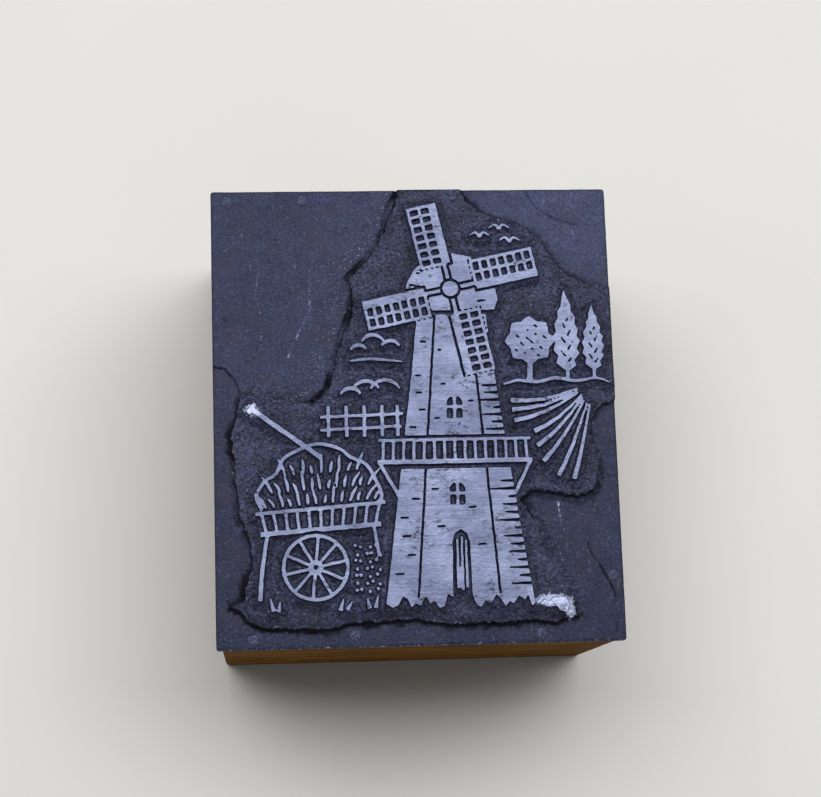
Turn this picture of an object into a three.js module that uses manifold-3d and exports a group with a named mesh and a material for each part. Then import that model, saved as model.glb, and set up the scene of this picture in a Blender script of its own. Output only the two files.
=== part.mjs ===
// Letterpress printing block: an etched and routed metal plate, held by six brads on a type-high wood base.
// Millimetres. +X is the right of the picture, +Y its top, and +Z points out of the printing face.
// The origin is on the underside of the wood, below the middle of the plate.

import * as THREE from "three";
import { mergeVertices } from "three/addons/utils/BufferGeometryUtils.js";
import Module from "manifold-3d";

const wasm = await Module();
wasm.setup();

// Plate: a rolled sheet, etched around the picture and routed deeper where the picture is open.
const plateWidth = 31.75;
const plateLength = 36.4;
const plateThickness = 1.6;
const plateCornerRadius = 0.2;
const etchDepth = 0.55;
const upperRoutDepth = 0.85;
const lowerRoutDepth = 1.0;
const grooveDepth = 1.05;
const grooveWidth = 0.42;

// Wood base: it makes the block type-high, and the plate overhangs it a little on every side.
const typeHeight = 23.32;
const leftInset = 0.35;
const rightInset = 0.1;
const frontInset = 0.15;
const backInset = 0.15;
const baseCornerRadius = 0.4;

// Brads: flat-headed pins, hammered into a shallow seat in the routed floor.
const bradHeadDiameter = 0.9;
const bradHeadHeight = 0.3;
const bradSeatDepth = 0.2;
const bradShankDiameter = 0.5;
const bradShankLength = 7.0;
const bradPointLength = 0.9;
const fitClearance = 0.05;
const bradRimShare = 0.6;
const bradCrownShare = 0.8;
const bradSegments = 12;

// Line widths of the picture.
const fineLine = 0.21;
const plainLine = 0.25;
const boldLine = 0.34;

// Shares of a line's width, where it runs to a point, slims down or widens.
const pointShare = 0.3;
const slimShare = 0.6;
const flareShare = 1.3;

// Windmill: the sails turn about a hub on the cap.
const sailReach = 7.0;
const sailRoot = 2.1;
const sailWidth = 1.8;
const sailBoardWidth = 0.5;
const sailRows = 7;
const sailTilt = THREE.MathUtils.degToRad(12);
const hubRadius = 0.62;
const darkMargin = 0.24;

// Cart: one spoked wheel in front of a slatted body.
const wheelRadius = 2.6;
const wheelHubRadius = 0.55;
const wheelPinRadius = 0.2;
const wheelSpokes = 10;
const wheelTurn = THREE.MathUtils.degToRad(12);

// One overrun serves every cut.
const cutOverrun = 1.0;

// Straight steps in a quarter or half turn of an extruded outline.
const curveSteps = 5;

const baseTop = typeHeight - plateThickness;
const etchedFloor = typeHeight - etchDepth;

// Places on the plate are shares of its width from the left and of its length from the bottom.

function onPlate([uShare, vShare]) {
  return new THREE.Vector2(uShare * plateWidth - plateWidth / 2, vShare * plateLength - plateLength / 2);
}

function solidOf(geometry) {
  geometry.deleteAttribute("normal");
  geometry.deleteAttribute("uv");
  const merged = mergeVertices(geometry);
  const mesh = new wasm.Mesh({
    numProp: 3,
    vertProperties: new Float32Array(merged.attributes.position.array),
    triVerts: new Uint32Array(merged.index.array),
  });
  return new wasm.Manifold(mesh);
}

function geometryOf(solid) {
  const mesh = solid.getMesh();
  const geometry = new THREE.BufferGeometry();
  geometry.setAttribute("position", new THREE.BufferAttribute(mesh.vertProperties, 3));
  geometry.setIndex(new THREE.BufferAttribute(mesh.triVerts, 1));
  geometry.computeVertexNormals();
  return geometry;
}

function prism(shape, bottom, top) {
  const geometry = new THREE.ExtrudeGeometry(shape, {
    depth: top - bottom,
    bevelEnabled: false,
    curveSegments: curveSteps,
  });
  return solidOf(geometry.translate(0, 0, bottom));
}

function pin(radius, bottom, top) {
  const geometry = new THREE.CylinderGeometry(radius, radius, top - bottom, bradSegments);
  geometry.rotateX(Math.PI / 2);
  return solidOf(geometry.translate(0, 0, (top + bottom) / 2));
}

function roundedRectangle(left, right, front, back, radius) {
  const shape = new THREE.Shape();
  const quarter = Math.PI / 2;
  shape.absarc(right - radius, front + radius, radius, -quarter, 0);
  shape.absarc(right - radius, back - radius, radius, 0, quarter);
  shape.absarc(left + radius, back - radius, radius, quarter, 2 * quarter);
  shape.absarc(left + radius, front + radius, radius, 2 * quarter, 3 * quarter);
  return shape;
}

// Shapes of the picture.

function outline(shares) {
  return new THREE.Shape(shares.map(onPlate));
}

// A line with a width, along points in millimetres. Its ends have startShare and endShare of the width, and
// swellShare of it is added in the middle.
function strokeAlong(points, width, startShare = 1, endShare = 1, swellShare = 0) {
  const left = [];
  const right = [];
  points.forEach((point, index) => {
    const before = points[Math.max(index - 1, 0)];
    const after = points[Math.min(index + 1, points.length - 1)];
    const run = after.clone().sub(before).normalize();
    const lengthShare = index / (points.length - 1);
    const swell = swellShare * Math.sin(lengthShare * Math.PI);
    const half = (width / 2) * (THREE.MathUtils.lerp(startShare, endShare, lengthShare) + swell);
    left.push(new THREE.Vector2(point.x - run.y * half, point.y + run.x * half));
    right.push(new THREE.Vector2(point.x + run.y * half, point.y - run.x * half));
  });
  return new THREE.Shape([...right, ...left.reverse()]);
}

function stroke(shares, width, startShare, endShare) {
  return strokeAlong(shares.map(onPlate), width, startShare, endShare);
}

// A smooth line through the points.
function curve(points, steps, width, startShare, endShare, swellShare) {
  return strokeAlong(new THREE.SplineCurve(points).getPoints(steps), width, startShare, endShare, swellShare);
}

// The point that lies along and across from a centre, after a turn about it.
function turned(centre, angle, along, across = 0) {
  return new THREE.Vector2(along, across).rotateAround(new THREE.Vector2(), angle).add(centre);
}

function blob(centre, radius, sides, turn = 0) {
  const points = [];
  for (let side = 0; side < sides; side += 1) {
    const angle = turn + (side / sides) * 2 * Math.PI;
    points.push(turned(centre, angle, radius));
  }
  return new THREE.Shape(points);
}

const raised = (shape) => ({ shape, isRaised: true });
const lowered = (shape) => ({ shape, isRaised: false });

// Windmill tower: a tapering body that ends in grass, and its cap.

const towerLeftShares = [[0.412, 0.088], [0.438, 0.25], [0.464, 0.42], [0.49, 0.58], [0.508, 0.712]];
const towerRightShares = [[0.774, 0.083], [0.746, 0.25], [0.72, 0.42], [0.696, 0.58], [0.68, 0.712]];
const towerGrassShares = [
  [0.766, 0.077], [0.757, 0.103], [0.749, 0.09], [0.735, 0.099], [0.722, 0.083], [0.712, 0.088],
  [0.702, 0.077], [0.69, 0.094], [0.679, 0.104], [0.666, 0.083], [0.653, 0.09], [0.642, 0.077],
  [0.632, 0.082], [0.62, 0.106], [0.604, 0.1], [0.59, 0.107], [0.574, 0.099], [0.562, 0.108],
  [0.552, 0.08], [0.54, 0.077], [0.528, 0.093], [0.518, 0.085], [0.508, 0.104], [0.495, 0.083],
  [0.482, 0.088], [0.472, 0.079], [0.463, 0.098], [0.452, 0.103], [0.44, 0.084], [0.427, 0.08],
];
const seamShares = [[[0.49, 0.098], [0.552, 0.712]], [[0.69, 0.104], [0.64, 0.712]]];
const doorShares = [
  [0.574, 0.08], [0.622, 0.08], [0.62, 0.215], [0.614, 0.234], [0.598, 0.244], [0.583, 0.235], [0.577, 0.216],
];
const doorPlankShares = [
  [[0.588, 0.118], [0.589, 0.222]], [[0.599, 0.112], [0.6, 0.228]], [[0.61, 0.118], [0.61, 0.22]],
];
const windowCentreShares = [[0.594, 0.32], [0.594, 0.508]];
const windowWidth = 1.25;
const windowHeight = 1.8;
const shadePitch = 0.62;
const shadeWidth = 0.3;
const shadeTip = 0.12;
const shadeLengths = [1.9, 1.1, 1.5, 0.8];
const shadeStretchShares = [[0.125, 0.362], [0.458, 0.57]];
const brickPitch = 1.25;
const brickStretchShares = [[0.15, 0.35], [0.465, 0.69]];
// Places and widths of the joints are shares of the way from a panel's first edge to its second.
const brickPanels = [
  { edges: [towerLeftShares, seamShares[0]], placeShares: [0.14, 0.5, 0.28], widthShare: 0.36, rowShift: 0 },
  { edges: seamShares, placeShares: [0.1, 0.76, 0.2, 0.66], widthShare: 0.13, rowShift: 0.5 },
];

function towerEdge(edgeShares, vShare) {
  const above = edgeShares.findIndex((point) => point[1] >= vShare);
  const [lowU, lowV] = edgeShares[above - 1];
  const [highU, highV] = edgeShares[above];
  return lowU + ((highU - lowU) * (vShare - lowV)) / (highV - lowV);
}

function windowPane(centreShares) {
  const { x, y } = onPlate(centreShares);
  const half = windowWidth / 2;
  const arch = new THREE.Shape();
  arch.moveTo(x - half, y - windowHeight / 2);
  arch.lineTo(x + half, y - windowHeight / 2);
  arch.absarc(x, y + windowHeight / 2 - half, half, 0, Math.PI);
  const upright = [new THREE.Vector2(x, y - windowHeight), new THREE.Vector2(x, y + windowHeight)];
  const sill = [new THREE.Vector2(x - windowWidth, y), new THREE.Vector2(x + windowWidth, y)];
  return [lowered(arch), raised(strokeAlong(upright, fineLine)), raised(strokeAlong(sill, fineLine))];
}

// Short dark lines that shade the right side of the tower, each one narrowing to a point.
function towerShade() {
  const lines = [];
  for (const [startShare, endShare] of shadeStretchShares) {
    const count = Math.round(((endShare - startShare) * plateLength) / shadePitch);
    for (let index = 0; index < count; index += 1) {
      const vShare = startShare + ((endShare - startShare) * index) / count;
      const edge = onPlate([towerEdge(towerRightShares, vShare), vShare]);
      const tip = new THREE.Vector2(edge.x - shadeLengths[index % shadeLengths.length], edge.y);
      const start = new THREE.Vector2(edge.x + fineLine, edge.y);
      lines.push(lowered(strokeAlong([start, tip], shadeWidth, 1, shadeTip / shadeWidth)));
    }
  }
  return lines;
}

// Joints between bricks, in the two panels that the left seam parts.
function towerBricks() {
  const joints = [];
  for (const { edges, placeShares, widthShare, rowShift } of brickPanels) {
    for (const [startShare, endShare] of brickStretchShares) {
      const count = Math.floor(((endShare - startShare) * plateLength) / brickPitch);
      for (let row = 0; row < count; row += 1) {
        const vShare = startShare + ((endShare - startShare) * (row + rowShift)) / count;
        const [left, right] = edges.map((edge) => onPlate([towerEdge(edge, vShare), vShare]));
        const placeShare = placeShares[row % placeShares.length];
        const ends = [placeShare, placeShare + widthShare].map((share) => left.clone().lerp(right, share));
        joints.push(lowered(strokeAlong(ends, shadeWidth * slimShare)));
      }
    }
  }
  return joints;
}

function tower() {
  const body = outline([...towerLeftShares, ...towerRightShares.toReversed(), ...towerGrassShares]);
  return [
    raised(body),
    ...towerBricks(),
    ...seamShares.map((shares) => lowered(stroke(shares, fineLine))),
    ...windowCentreShares.flatMap(windowPane),
    lowered(outline(doorShares)),
    ...doorPlankShares.map((shares) => raised(stroke(shares, fineLine, 1, slimShare))),
    ...towerShade(),
  ];
}

// Gallery: a platform with a railing across the tower, on two braces.

const galleryDarkShares = [[0.43, 0.374], [0.752, 0.374], [0.745, 0.447], [0.44, 0.447]];
const galleryDeckShares = [[0.4, 0.39], [0.782, 0.39]];
const galleryRailShares = [[0.403, 0.437], [0.779, 0.437]];
const galleryBraceShares = [[[0.406, 0.386], [0.449, 0.318]], [[0.776, 0.386], [0.736, 0.318]]];
const galleryPosts = 15;

function gallery() {
  const deck = galleryDeckShares.map(onPlate);
  const rail = galleryRailShares.map(onPlate);
  const posts = [];
  for (let index = 0; index < galleryPosts; index += 1) {
    const lengthShare = (index + 0.5) / galleryPosts;
    const foot = deck[0].clone().lerp(deck[1], lengthShare);
    const head = rail[0].clone().lerp(rail[1], lengthShare);
    posts.push(raised(strokeAlong([foot, head], fineLine)));
  }
  return [
    lowered(outline(galleryDarkShares)),
    raised(strokeAlong(deck, boldLine)),
    raised(strokeAlong(rail, fineLine)),
    ...posts,
    ...galleryBraceShares.map((shares) => raised(stroke(shares, plainLine))),
  ];
}

const capShares = [
  [0.486, 0.722], [0.702, 0.722], [0.711, 0.745], [0.704, 0.782], [0.683, 0.815], [0.647, 0.84],
  [0.594, 0.851], [0.543, 0.84], [0.506, 0.815], [0.485, 0.782], [0.478, 0.745],
];
const capLineShares = [
  [[0.486, 0.745], [0.53, 0.741]], [[0.49, 0.779], [0.528, 0.775]], [[0.66, 0.741], [0.706, 0.746]],
  [[0.672, 0.775], [0.7, 0.778]], [[0.654, 0.804], [0.684, 0.806]], [[0.508, 0.806], [0.536, 0.803]],
];

function cap() {
  const lines = capLineShares.map((shares) => lowered(stroke(shares, fineLine, 1, pointShare)));
  return [raised(outline(capShares)), ...lines];
}

// Sails: a stock with a lattice on one side and a board on the other, on a dark ground of their own.

const hubShares = [0.594, 0.77];

function sail(angle) {
  const hub = onPlate(hubShares);
  const point = (along, across) => turned(hub, angle, along, across);
  const box = (start, end, low, high) =>
    new THREE.Shape([point(start, low), point(end, low), point(end, high), point(start, high)]);
  const bar = (start, end) => raised(strokeAlong([start, end], fineLine));
  const reachWithEdge = sailReach + fineLine / 2;
  const stockMargin = plainLine / 2 + darkMargin;
  const darkEnd = sailReach + darkMargin;
  const darkSide = sailWidth + darkMargin;
  const marks = [
    lowered(box(0, sailRoot, -stockMargin, stockMargin)),
    lowered(box(sailRoot - darkMargin, darkEnd, -sailBoardWidth - darkMargin, darkSide)),
    raised(box(sailRoot, reachWithEdge, -sailBoardWidth, -fineLine)),
    raised(strokeAlong([point(0, 0), point(sailReach, 0)], plainLine)),
    bar(point(sailRoot, sailWidth / 2), point(sailReach, sailWidth / 2)),
    bar(point(sailRoot, sailWidth), point(sailReach, sailWidth)),
  ];
  for (let row = 0; row <= sailRows; row += 1) {
    const along = THREE.MathUtils.lerp(sailRoot, sailReach, row / sailRows);
    marks.push(bar(point(along, -fineLine), point(along, sailWidth + fineLine / 2)));
  }
  return marks;
}

function sails() {
  const marks = [];
  for (let quarter = 0; quarter < 4; quarter += 1) {
    marks.push(...sail(sailTilt + (quarter * Math.PI) / 2));
  }
  const hub = onPlate(hubShares);
  const hubSides = 14;
  marks.push(lowered(blob(hub, hubRadius + darkMargin, hubSides)), raised(blob(hub, hubRadius, hubSides)));
  return marks;
}

// Trees: two tall ones and a round one, light with dark gaps, on a ground line.

const tallTrees = [
  { footShares: [0.88, 0.572], height: 7.0, width: 2.2 },
  { footShares: [0.947, 0.576], height: 5.6, width: 1.8 },
];
// Shares of half the tree's width and of its height.
const tallTreeRightShares = [
  [0.2, 0.07], [0.66, 0.12], [0.52, 0.18], [0.9, 0.26], [0.72, 0.31], [1, 0.4], [0.76, 0.46], [0.9, 0.54],
  [0.64, 0.6], [0.7, 0.68], [0.44, 0.75], [0.44, 0.82], [0.18, 0.9], [0, 1],
];
const tallTreeLeftShares = [
  [-0.24, 0.88], [-0.3, 0.8], [-0.56, 0.75], [-0.5, 0.68], [-0.82, 0.6], [-0.7, 0.52],
  [-0.98, 0.45], [-0.8, 0.38], [-0.96, 0.3], [-0.62, 0.24], [-0.76, 0.15], [-0.24, 0.08],
];
const tallTreeVeinShares = [
  [[0.08, 0.16], [0.5, 0.24]], [[-0.08, 0.22], [-0.58, 0.33]], [[0.08, 0.3], [0.62, 0.42]],
  [[-0.08, 0.38], [-0.6, 0.5]], [[0.08, 0.46], [0.5, 0.58]], [[-0.06, 0.55], [-0.4, 0.66]],
  [[0.06, 0.63], [0.3, 0.73]],
];
const tallTreeTrunkShares = [[0, -0.05], [0, 0.12]];
const roundTreeShares = [0.788, 0.652];
const roundTreeRadius = 1.8;
const roundTreeLobes = 8;
const lobeShare = 0.09;
const leafLength = 0.6;
const leafCount = 13;
const leafSpreadShare = 0.8;
const leafTilt = THREE.MathUtils.degToRad(-40);
const goldenAngle = Math.PI * (3 - Math.sqrt(5));
const roundTrunkShares = [[0.784, 0.561], [0.788, 0.622]];
const groundSteps = 24;
const groundLineShares = [
  [0.718, 0.556], [0.755, 0.564], [0.8, 0.56], [0.85, 0.568], [0.9, 0.561], [0.95, 0.567], [0.985, 0.557],
];

function tallTree({ footShares, height, width }) {
  const foot = onPlate(footShares);
  const onTree = ([halfShare, heightShare]) =>
    new THREE.Vector2(foot.x + (halfShare * width) / 2, foot.y + heightShare * height);
  const crown = new THREE.Shape([...tallTreeRightShares, ...tallTreeLeftShares].map(onTree));
  return [
    raised(crown),
    ...tallTreeVeinShares.map((shares) => lowered(strokeAlong(shares.map(onTree), fineLine, 1, pointShare))),
    raised(strokeAlong(tallTreeTrunkShares.map(onTree), plainLine)),
  ];
}

function roundTree() {
  const centre = onPlate(roundTreeShares);
  const around = (radius, angle) => turned(centre, angle, radius);
  const steps = roundTreeLobes * 4;
  const crown = [];
  for (let step = 0; step < steps; step += 1) {
    const angle = (step / steps) * 2 * Math.PI;
    crown.push(around(roundTreeRadius * (1 + lobeShare * Math.cos(angle * roundTreeLobes)), angle));
  }
  const marks = [raised(new THREE.Shape(crown))];
  for (let leaf = 0; leaf < leafCount; leaf += 1) {
    const start = around(roundTreeRadius * leafSpreadShare * Math.sqrt(leaf / leafCount), leaf * goldenAngle);
    marks.push(lowered(strokeAlong([start, turned(start, leafTilt, leafLength)], fineLine, 1, pointShare)));
  }
  marks.push(raised(stroke(roundTrunkShares, boldLine, flareShare, 1)));
  return marks;
}

function trees() {
  const along = groundLineShares.map(onPlate);
  const ground = curve(along, groundSteps, plainLine, slimShare, pointShare, slimShare);
  return [raised(ground), ...tallTrees.flatMap(tallTree), ...roundTree()];
}

// Field: furrows that run together towards the horizon.

const furrowStartShares = [
  [0.734, 0.52], [0.737, 0.5], [0.741, 0.476], [0.79, 0.452], [0.796, 0.42], [0.81, 0.386], [0.846, 0.354],
  [0.884, 0.346],
];
const furrowMeetShares = [0.944, 0.55];
const furrowEndShare = 0.8;
const furrowTipShare = 0.42;
const furrowSagShare = 0.01;
const furrowSteps = 4;

function furrows() {
  return furrowStartShares.map((start) => {
    const points = [];
    for (let step = 0; step <= furrowSteps; step += 1) {
      const lengthShare = (step / furrowSteps) * furrowEndShare;
      const sag = furrowSagShare * Math.sin((step / furrowSteps) * Math.PI);
      points.push([
        THREE.MathUtils.lerp(start[0], furrowMeetShares[0], lengthShare),
        THREE.MathUtils.lerp(start[1], furrowMeetShares[1], lengthShare) - sag,
      ]);
    }
    return raised(stroke(points, boldLine, 1, furrowTipShare));
  });
}

// Hay cart: load, slatted body, prop and wheel.

const hayEdgeShares = [
  [0.116, 0.292], [0.102, 0.322], [0.124, 0.354], [0.152, 0.37], [0.168, 0.4], [0.207, 0.42], [0.252, 0.432],
  [0.302, 0.424], [0.335, 0.402], [0.372, 0.386], [0.394, 0.352], [0.408, 0.32], [0.4, 0.306],
];
const hayRows = [
  { lift: 0.35, reachShares: [0.05, 0.95], blades: 14 },
  { lift: 1.5, reachShares: [0.1, 0.9], blades: 13 },
  { lift: 2.75, reachShares: [0.2, 0.82], blades: 9 },
];
const hayBladeLengths = [1.5, 0.9, 1.25, 0.7];
const hayBladeSteps = 4;
const hayFan = THREE.MathUtils.degToRad(44);
const haySway = THREE.MathUtils.degToRad(9);
const hayBend = 0.12;
const hayEdgeSteps = 36;
const cartSillShares = [[0.112, 0.24], [0.404, 0.258]];
const cartRailShares = [[0.1, 0.284], [0.416, 0.304]];
const cartPropShares = [[0.128, 0.238], [0.113, 0.16], [0.108, 0.1]];
const cartTailShares = [[0.386, 0.256], [0.398, 0.19]];
const cartStaves = 11;
const wheelCentreShares = [0.243, 0.168];

// Rows of hay that fan out over the cart's rail, each blade bent and narrowing to both ends.
function hay(rail) {
  const marks = [];
  for (const { lift, reachShares, blades } of hayRows) {
    for (let blade = 0; blade < blades; blade += 1) {
      const lengthShare = THREE.MathUtils.lerp(...reachShares, (blade + 0.5) / blades);
      const side = 2 * lengthShare - 1;
      const up = Math.PI / 2 - side * hayFan + haySway * Math.sin(blade * goldenAngle);
      const length = hayBladeLengths[blade % hayBladeLengths.length];
      const foot = rail[0].clone().lerp(rail[1], lengthShare);
      foot.y += lift;
      const middle = turned(foot, up, length / 2, side * hayBend);
      const tip = turned(foot, up, length);
      marks.push(raised(curve([foot, middle, tip], hayBladeSteps, fineLine, slimShare, pointShare, slimShare)));
    }
  }
  return marks;
}

function wheel() {
  const centre = onPlate(wheelCentreShares);
  const rimSides = 28;
  const hubSides = 10;
  const innerRadius = wheelRadius - plainLine;
  const marks = [
    lowered(blob(centre, wheelRadius + darkMargin, rimSides)),
    raised(blob(centre, wheelRadius, rimSides)),
    lowered(blob(centre, innerRadius, rimSides)),
  ];
  for (let spoke = 0; spoke < wheelSpokes; spoke += 1) {
    const angle = (spoke / wheelSpokes) * 2 * Math.PI + wheelTurn;
    marks.push(raised(strokeAlong([centre, turned(centre, angle, innerRadius + fineLine / 2)], fineLine)));
  }
  marks.push(raised(blob(centre, wheelHubRadius, hubSides)), lowered(blob(centre, wheelPinRadius, hubSides)));
  return marks;
}

function cart() {
  const sill = cartSillShares.map(onPlate);
  const rail = cartRailShares.map(onPlate);
  const staves = [];
  for (let index = 0; index < cartStaves; index += 1) {
    const lengthShare = (index + 0.5) / cartStaves;
    const foot = sill[0].clone().lerp(sill[1], lengthShare);
    const head = rail[0].clone().lerp(rail[1], lengthShare);
    staves.push(raised(strokeAlong([foot, head], fineLine)));
  }
  return [
    raised(curve(hayEdgeShares.map(onPlate), hayEdgeSteps, plainLine)),
    ...hay(rail),
    raised(strokeAlong(sill, boldLine)),
    raised(strokeAlong(rail, plainLine)),
    ...staves,
    raised(stroke(cartPropShares, plainLine, 1, flareShare)),
    raised(stroke(cartTailShares, fineLine, 1, flareShare)),
    ...wheel(),
  ];
}

// Small motifs: fork, fence, hedge, birds, grass, gravel and the worn corner.

const forkHandleShares = [[0.098, 0.508], [0.262, 0.402]];
const forkGripShares = [[0.086, 0.502], [0.104, 0.522]];
const fenceRailShares = [[[0.262, 0.462], [0.462, 0.468]], [[0.262, 0.49], [0.466, 0.495]]];
const fencePostShares = [0.282, 0.326, 0.37, 0.414, 0.452];
const fencePostEndShares = [0.446, 0.514];
const puffHalfAngle = THREE.MathUtils.degToRad(62);
const puffSteps = 9;
const hedgeBushes = [
  { centreShares: [0.338, 0.528], radius: 0.9 },
  { centreShares: [0.376, 0.536], radius: 1.15 },
  { centreShares: [0.424, 0.534], radius: 1.3 },
];
const cloudPuffs = [
  { centreShares: [0.36, 0.628], radius: 0.7 },
  { centreShares: [0.396, 0.642], radius: 1.0 },
  { centreShares: [0.44, 0.634], radius: 0.8 },
];
const cloudFootShares = [[0.338, 0.612], [0.39, 0.616], [0.468, 0.61]];
const birdShares = [[0.672, 0.886], [0.722, 0.903], [0.748, 0.874]];
const birdWingShares = [[0, 0], [0.01, 0.0105], [0.026, 0.003]];
const wingSteps = 6;
const grassShares = [
  [[0.14, 0.078], [0.132, 0.106]], [[0.152, 0.076], [0.156, 0.098]], [[0.3, 0.077], [0.308, 0.1]],
  [[0.316, 0.078], [0.33, 0.094]], [[0.372, 0.08], [0.366, 0.102]], [[0.386, 0.08], [0.392, 0.106]],
];
const gravelCornerShares = [0.338, 0.118];
const gravelPitch = 0.56;
const gravelRadius = 0.14;
const gravelRows = 7;
const gravelColumns = 4;
const gravelShiftShare = 0.2;
const gravelSides = 5;
const wornCornerShares = [
  [0.788, 0.08], [0.797, 0.089], [0.806, 0.083], [0.82, 0.092], [0.848, 0.094], [0.856, 0.078], [0.85, 0.062],
  [0.834, 0.066], [0.828, 0.075], [0.806, 0.074],
];

function fence() {
  const posts = fencePostShares.map((uShare) =>
    raised(stroke(fencePostEndShares.map((vShare) => [uShare, vShare]), plainLine)),
  );
  return [...posts, ...fenceRailShares.map((shares) => raised(stroke(shares, fineLine)))];
}

// An arc over a centre, thick in the middle and thin at its ends.
function puff({ centreShares, radius }) {
  const centre = onPlate(centreShares);
  const points = [];
  for (let step = 0; step <= puffSteps; step += 1) {
    const angle = Math.PI / 2 + puffHalfAngle * (1 - (2 * step) / puffSteps);
    points.push(turned(centre, angle, radius));
  }
  return raised(strokeAlong(points, plainLine, slimShare, slimShare, slimShare));
}

function cloud() {
  const along = cloudFootShares.map(onPlate);
  const foot = curve(along, puffSteps, plainLine, pointShare, pointShare, slimShare);
  return [...cloudPuffs.map(puff), raised(foot)];
}

function wing([uShare, vShare], side) {
  const points = birdWingShares.map(([outShare, upShare]) => onPlate([uShare + side * outShare, vShare + upShare]));
  return raised(curve(points, wingSteps, plainLine, 1, pointShare));
}

function birds() {
  return birdShares.flatMap((place) => [wing(place, 1), wing(place, -1)]);
}

// Dots in staggered rows, each one a little out of its place.
function gravel() {
  const corner = onPlate(gravelCornerShares);
  const marks = [];
  for (let row = 0; row < gravelRows; row += 1) {
    for (let column = 0; column < gravelColumns; column += 1) {
      const turn = (row * gravelColumns + column) * goldenAngle;
      const place = new THREE.Vector2(column + (row % 2) / 2, row).multiplyScalar(gravelPitch).add(corner);
      const centre = turned(place, turn, gravelPitch * gravelShiftShare);
      marks.push(raised(blob(centre, gravelRadius, gravelSides, turn)));
    }
  }
  return marks;
}

function smallMotifs() {
  return [
    raised(stroke(forkHandleShares, boldLine)),
    raised(stroke(forkGripShares, boldLine)),
    ...fence(),
    ...hedgeBushes.map(puff),
    ...cloud(),
    ...birds(),
    ...grassShares.map((shares) => raised(stroke(shares, plainLine, flareShare, pointShare))),
    ...gravel(),
    raised(outline(wornCornerShares)),
  ];
}

function picture() {
  const mill = [...tower(), ...gallery(), ...cap(), ...sails()];
  const marks = [...mill, ...trees(), ...furrows(), ...cart(), ...smallMotifs()];
  let relief = null;
  for (const { shape, isRaised } of marks) {
    const piece = prism(shape, etchedFloor - cutOverrun, typeHeight + 2 * cutOverrun);
    if (relief === null) {
      relief = piece;
    } else {
      relief = isRaised ? relief.add(piece) : relief.subtract(piece);
    }
  }
  return relief;
}

// Routed floors: the lower one runs along the left, the bottom and the lower right, the upper one is two
// corners. The cuts start and end outside the plate's edges.

const belowShare = -0.05;
const beyondShare = 1.05;
const arcEndShare = 0.54;
const leftRoutShares = [
  [0, 0.61], [0.018, 0.607], [0.033, 0.601], [0.047, 0.591], [0.057, 0.579], [0.065, 0.563], [0.068, 0.546],
  [0.064, 0.518], [0.05, 0.48], [0.043, 0.452], [0.045, 0.42], [0.054, 0.362], [0.057, 0.335], [0.062, 0.29],
  [0.075, 0.247], [0.088, 0.222], [0.09, 0.19], [0.081, 0.155], [0.074, 0.127], [0.07, 0.1], [0.038, 0.09],
  [0.062, 0.084], [0.074, 0.066],
];
const frontRoutShares = [
  [0.09, 0.053], [0.111, 0.044], [0.17, 0.042], [0.226, 0.039], [0.275, 0.043], [0.323, 0.05], [0.38, 0.051],
  [0.445, 0.055], [0.5, 0.052], [0.542, 0.045], [0.61, 0.044], [0.689, 0.046], [0.76, 0.047], [0.826, 0.043],
  [0.835, 0.048], [0.882, 0.055], [0.872, 0.066],
];
const rightRoutShares = [
  [0.87, 0.09], [0.85, 0.12], [0.825, 0.15], [0.802, 0.185], [0.79, 0.23], [0.774, 0.262], [0.764, 0.29],
  [0.752, 0.306], [0.777, 0.327], [0.815, 0.325], [0.851, 0.319], [0.895, 0.31], [0.936, 0.324], [0.95, 0.36],
  [0.947, 0.41], [0.934, 0.447], [0.934, 0.469], [0.944, 0.496], [0.97, 0.513], [1, 0.526],
];
const grooveShares = [
  [0.238, 0.524], [0.262, 0.538], [0.281, 0.558], [0.3, 0.62], [0.32, 0.675], [0.342, 0.725], [0.345, 0.762],
  [0.335, 0.8], [0.38, 0.84], [0.412, 0.878], [0.432, 0.912], [0.446, 0.955], [0.47, 1],
];
const upperLeftFloorShares = [[0.198, 0.53], [0.15, 0.536], [0.105, 0.541], [0.068, 0.536]];
const upperRightShares = [
  [0.63, 1], [0.646, 0.965], [0.69, 0.942], [0.75, 0.925], [0.802, 0.9], [0.84, 0.868], [0.872, 0.815],
  [0.93, 0.785], [1, 0.772],
];

function lowerRout() {
  const startShare = leftRoutShares.at(0)[1];
  const endShare = rightRoutShares.at(-1)[1];
  return outline([
    [belowShare, startShare], ...leftRoutShares, ...frontRoutShares, ...rightRoutShares,
    [beyondShare, endShare], [beyondShare, belowShare], [belowShare, belowShare],
  ]);
}

function upperLeftRout() {
  const arc = leftRoutShares.filter(([, vShare]) => vShare > arcEndShare);
  return outline([
    [belowShare, arc.at(0)[1]], ...arc, ...upperLeftFloorShares.toReversed(), ...grooveShares,
    [grooveShares.at(-1)[0], beyondShare], [belowShare, beyondShare],
  ]);
}

function upperRightRout() {
  return outline([
    [upperRightShares.at(0)[0], beyondShare], ...upperRightShares, [beyondShare, upperRightShares.at(-1)[1]],
    [beyondShare, beyondShare],
  ]);
}

// Brads stand where the plate is routed away. Each row is a name, a place and the depth of the floor there.

const brads = [
  { name: "brad_back_left", placeShares: [0.039, 0.977], floorDepth: upperRoutDepth },
  { name: "brad_back_middle", placeShares: [0.23, 0.979], floorDepth: upperRoutDepth },
  { name: "brad_front_left", placeShares: [0.09, 0.021], floorDepth: lowerRoutDepth },
  { name: "brad_front_middle", placeShares: [0.337, 0.025], floorDepth: lowerRoutDepth },
  { name: "brad_front_right", placeShares: [0.79, 0.021], floorDepth: lowerRoutDepth },
  { name: "brad_right", placeShares: [0.975, 0.14], floorDepth: lowerRoutDepth },
];

function bradSeat({ floorDepth }) {
  return typeHeight - floorDepth - bradSeatDepth;
}

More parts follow.
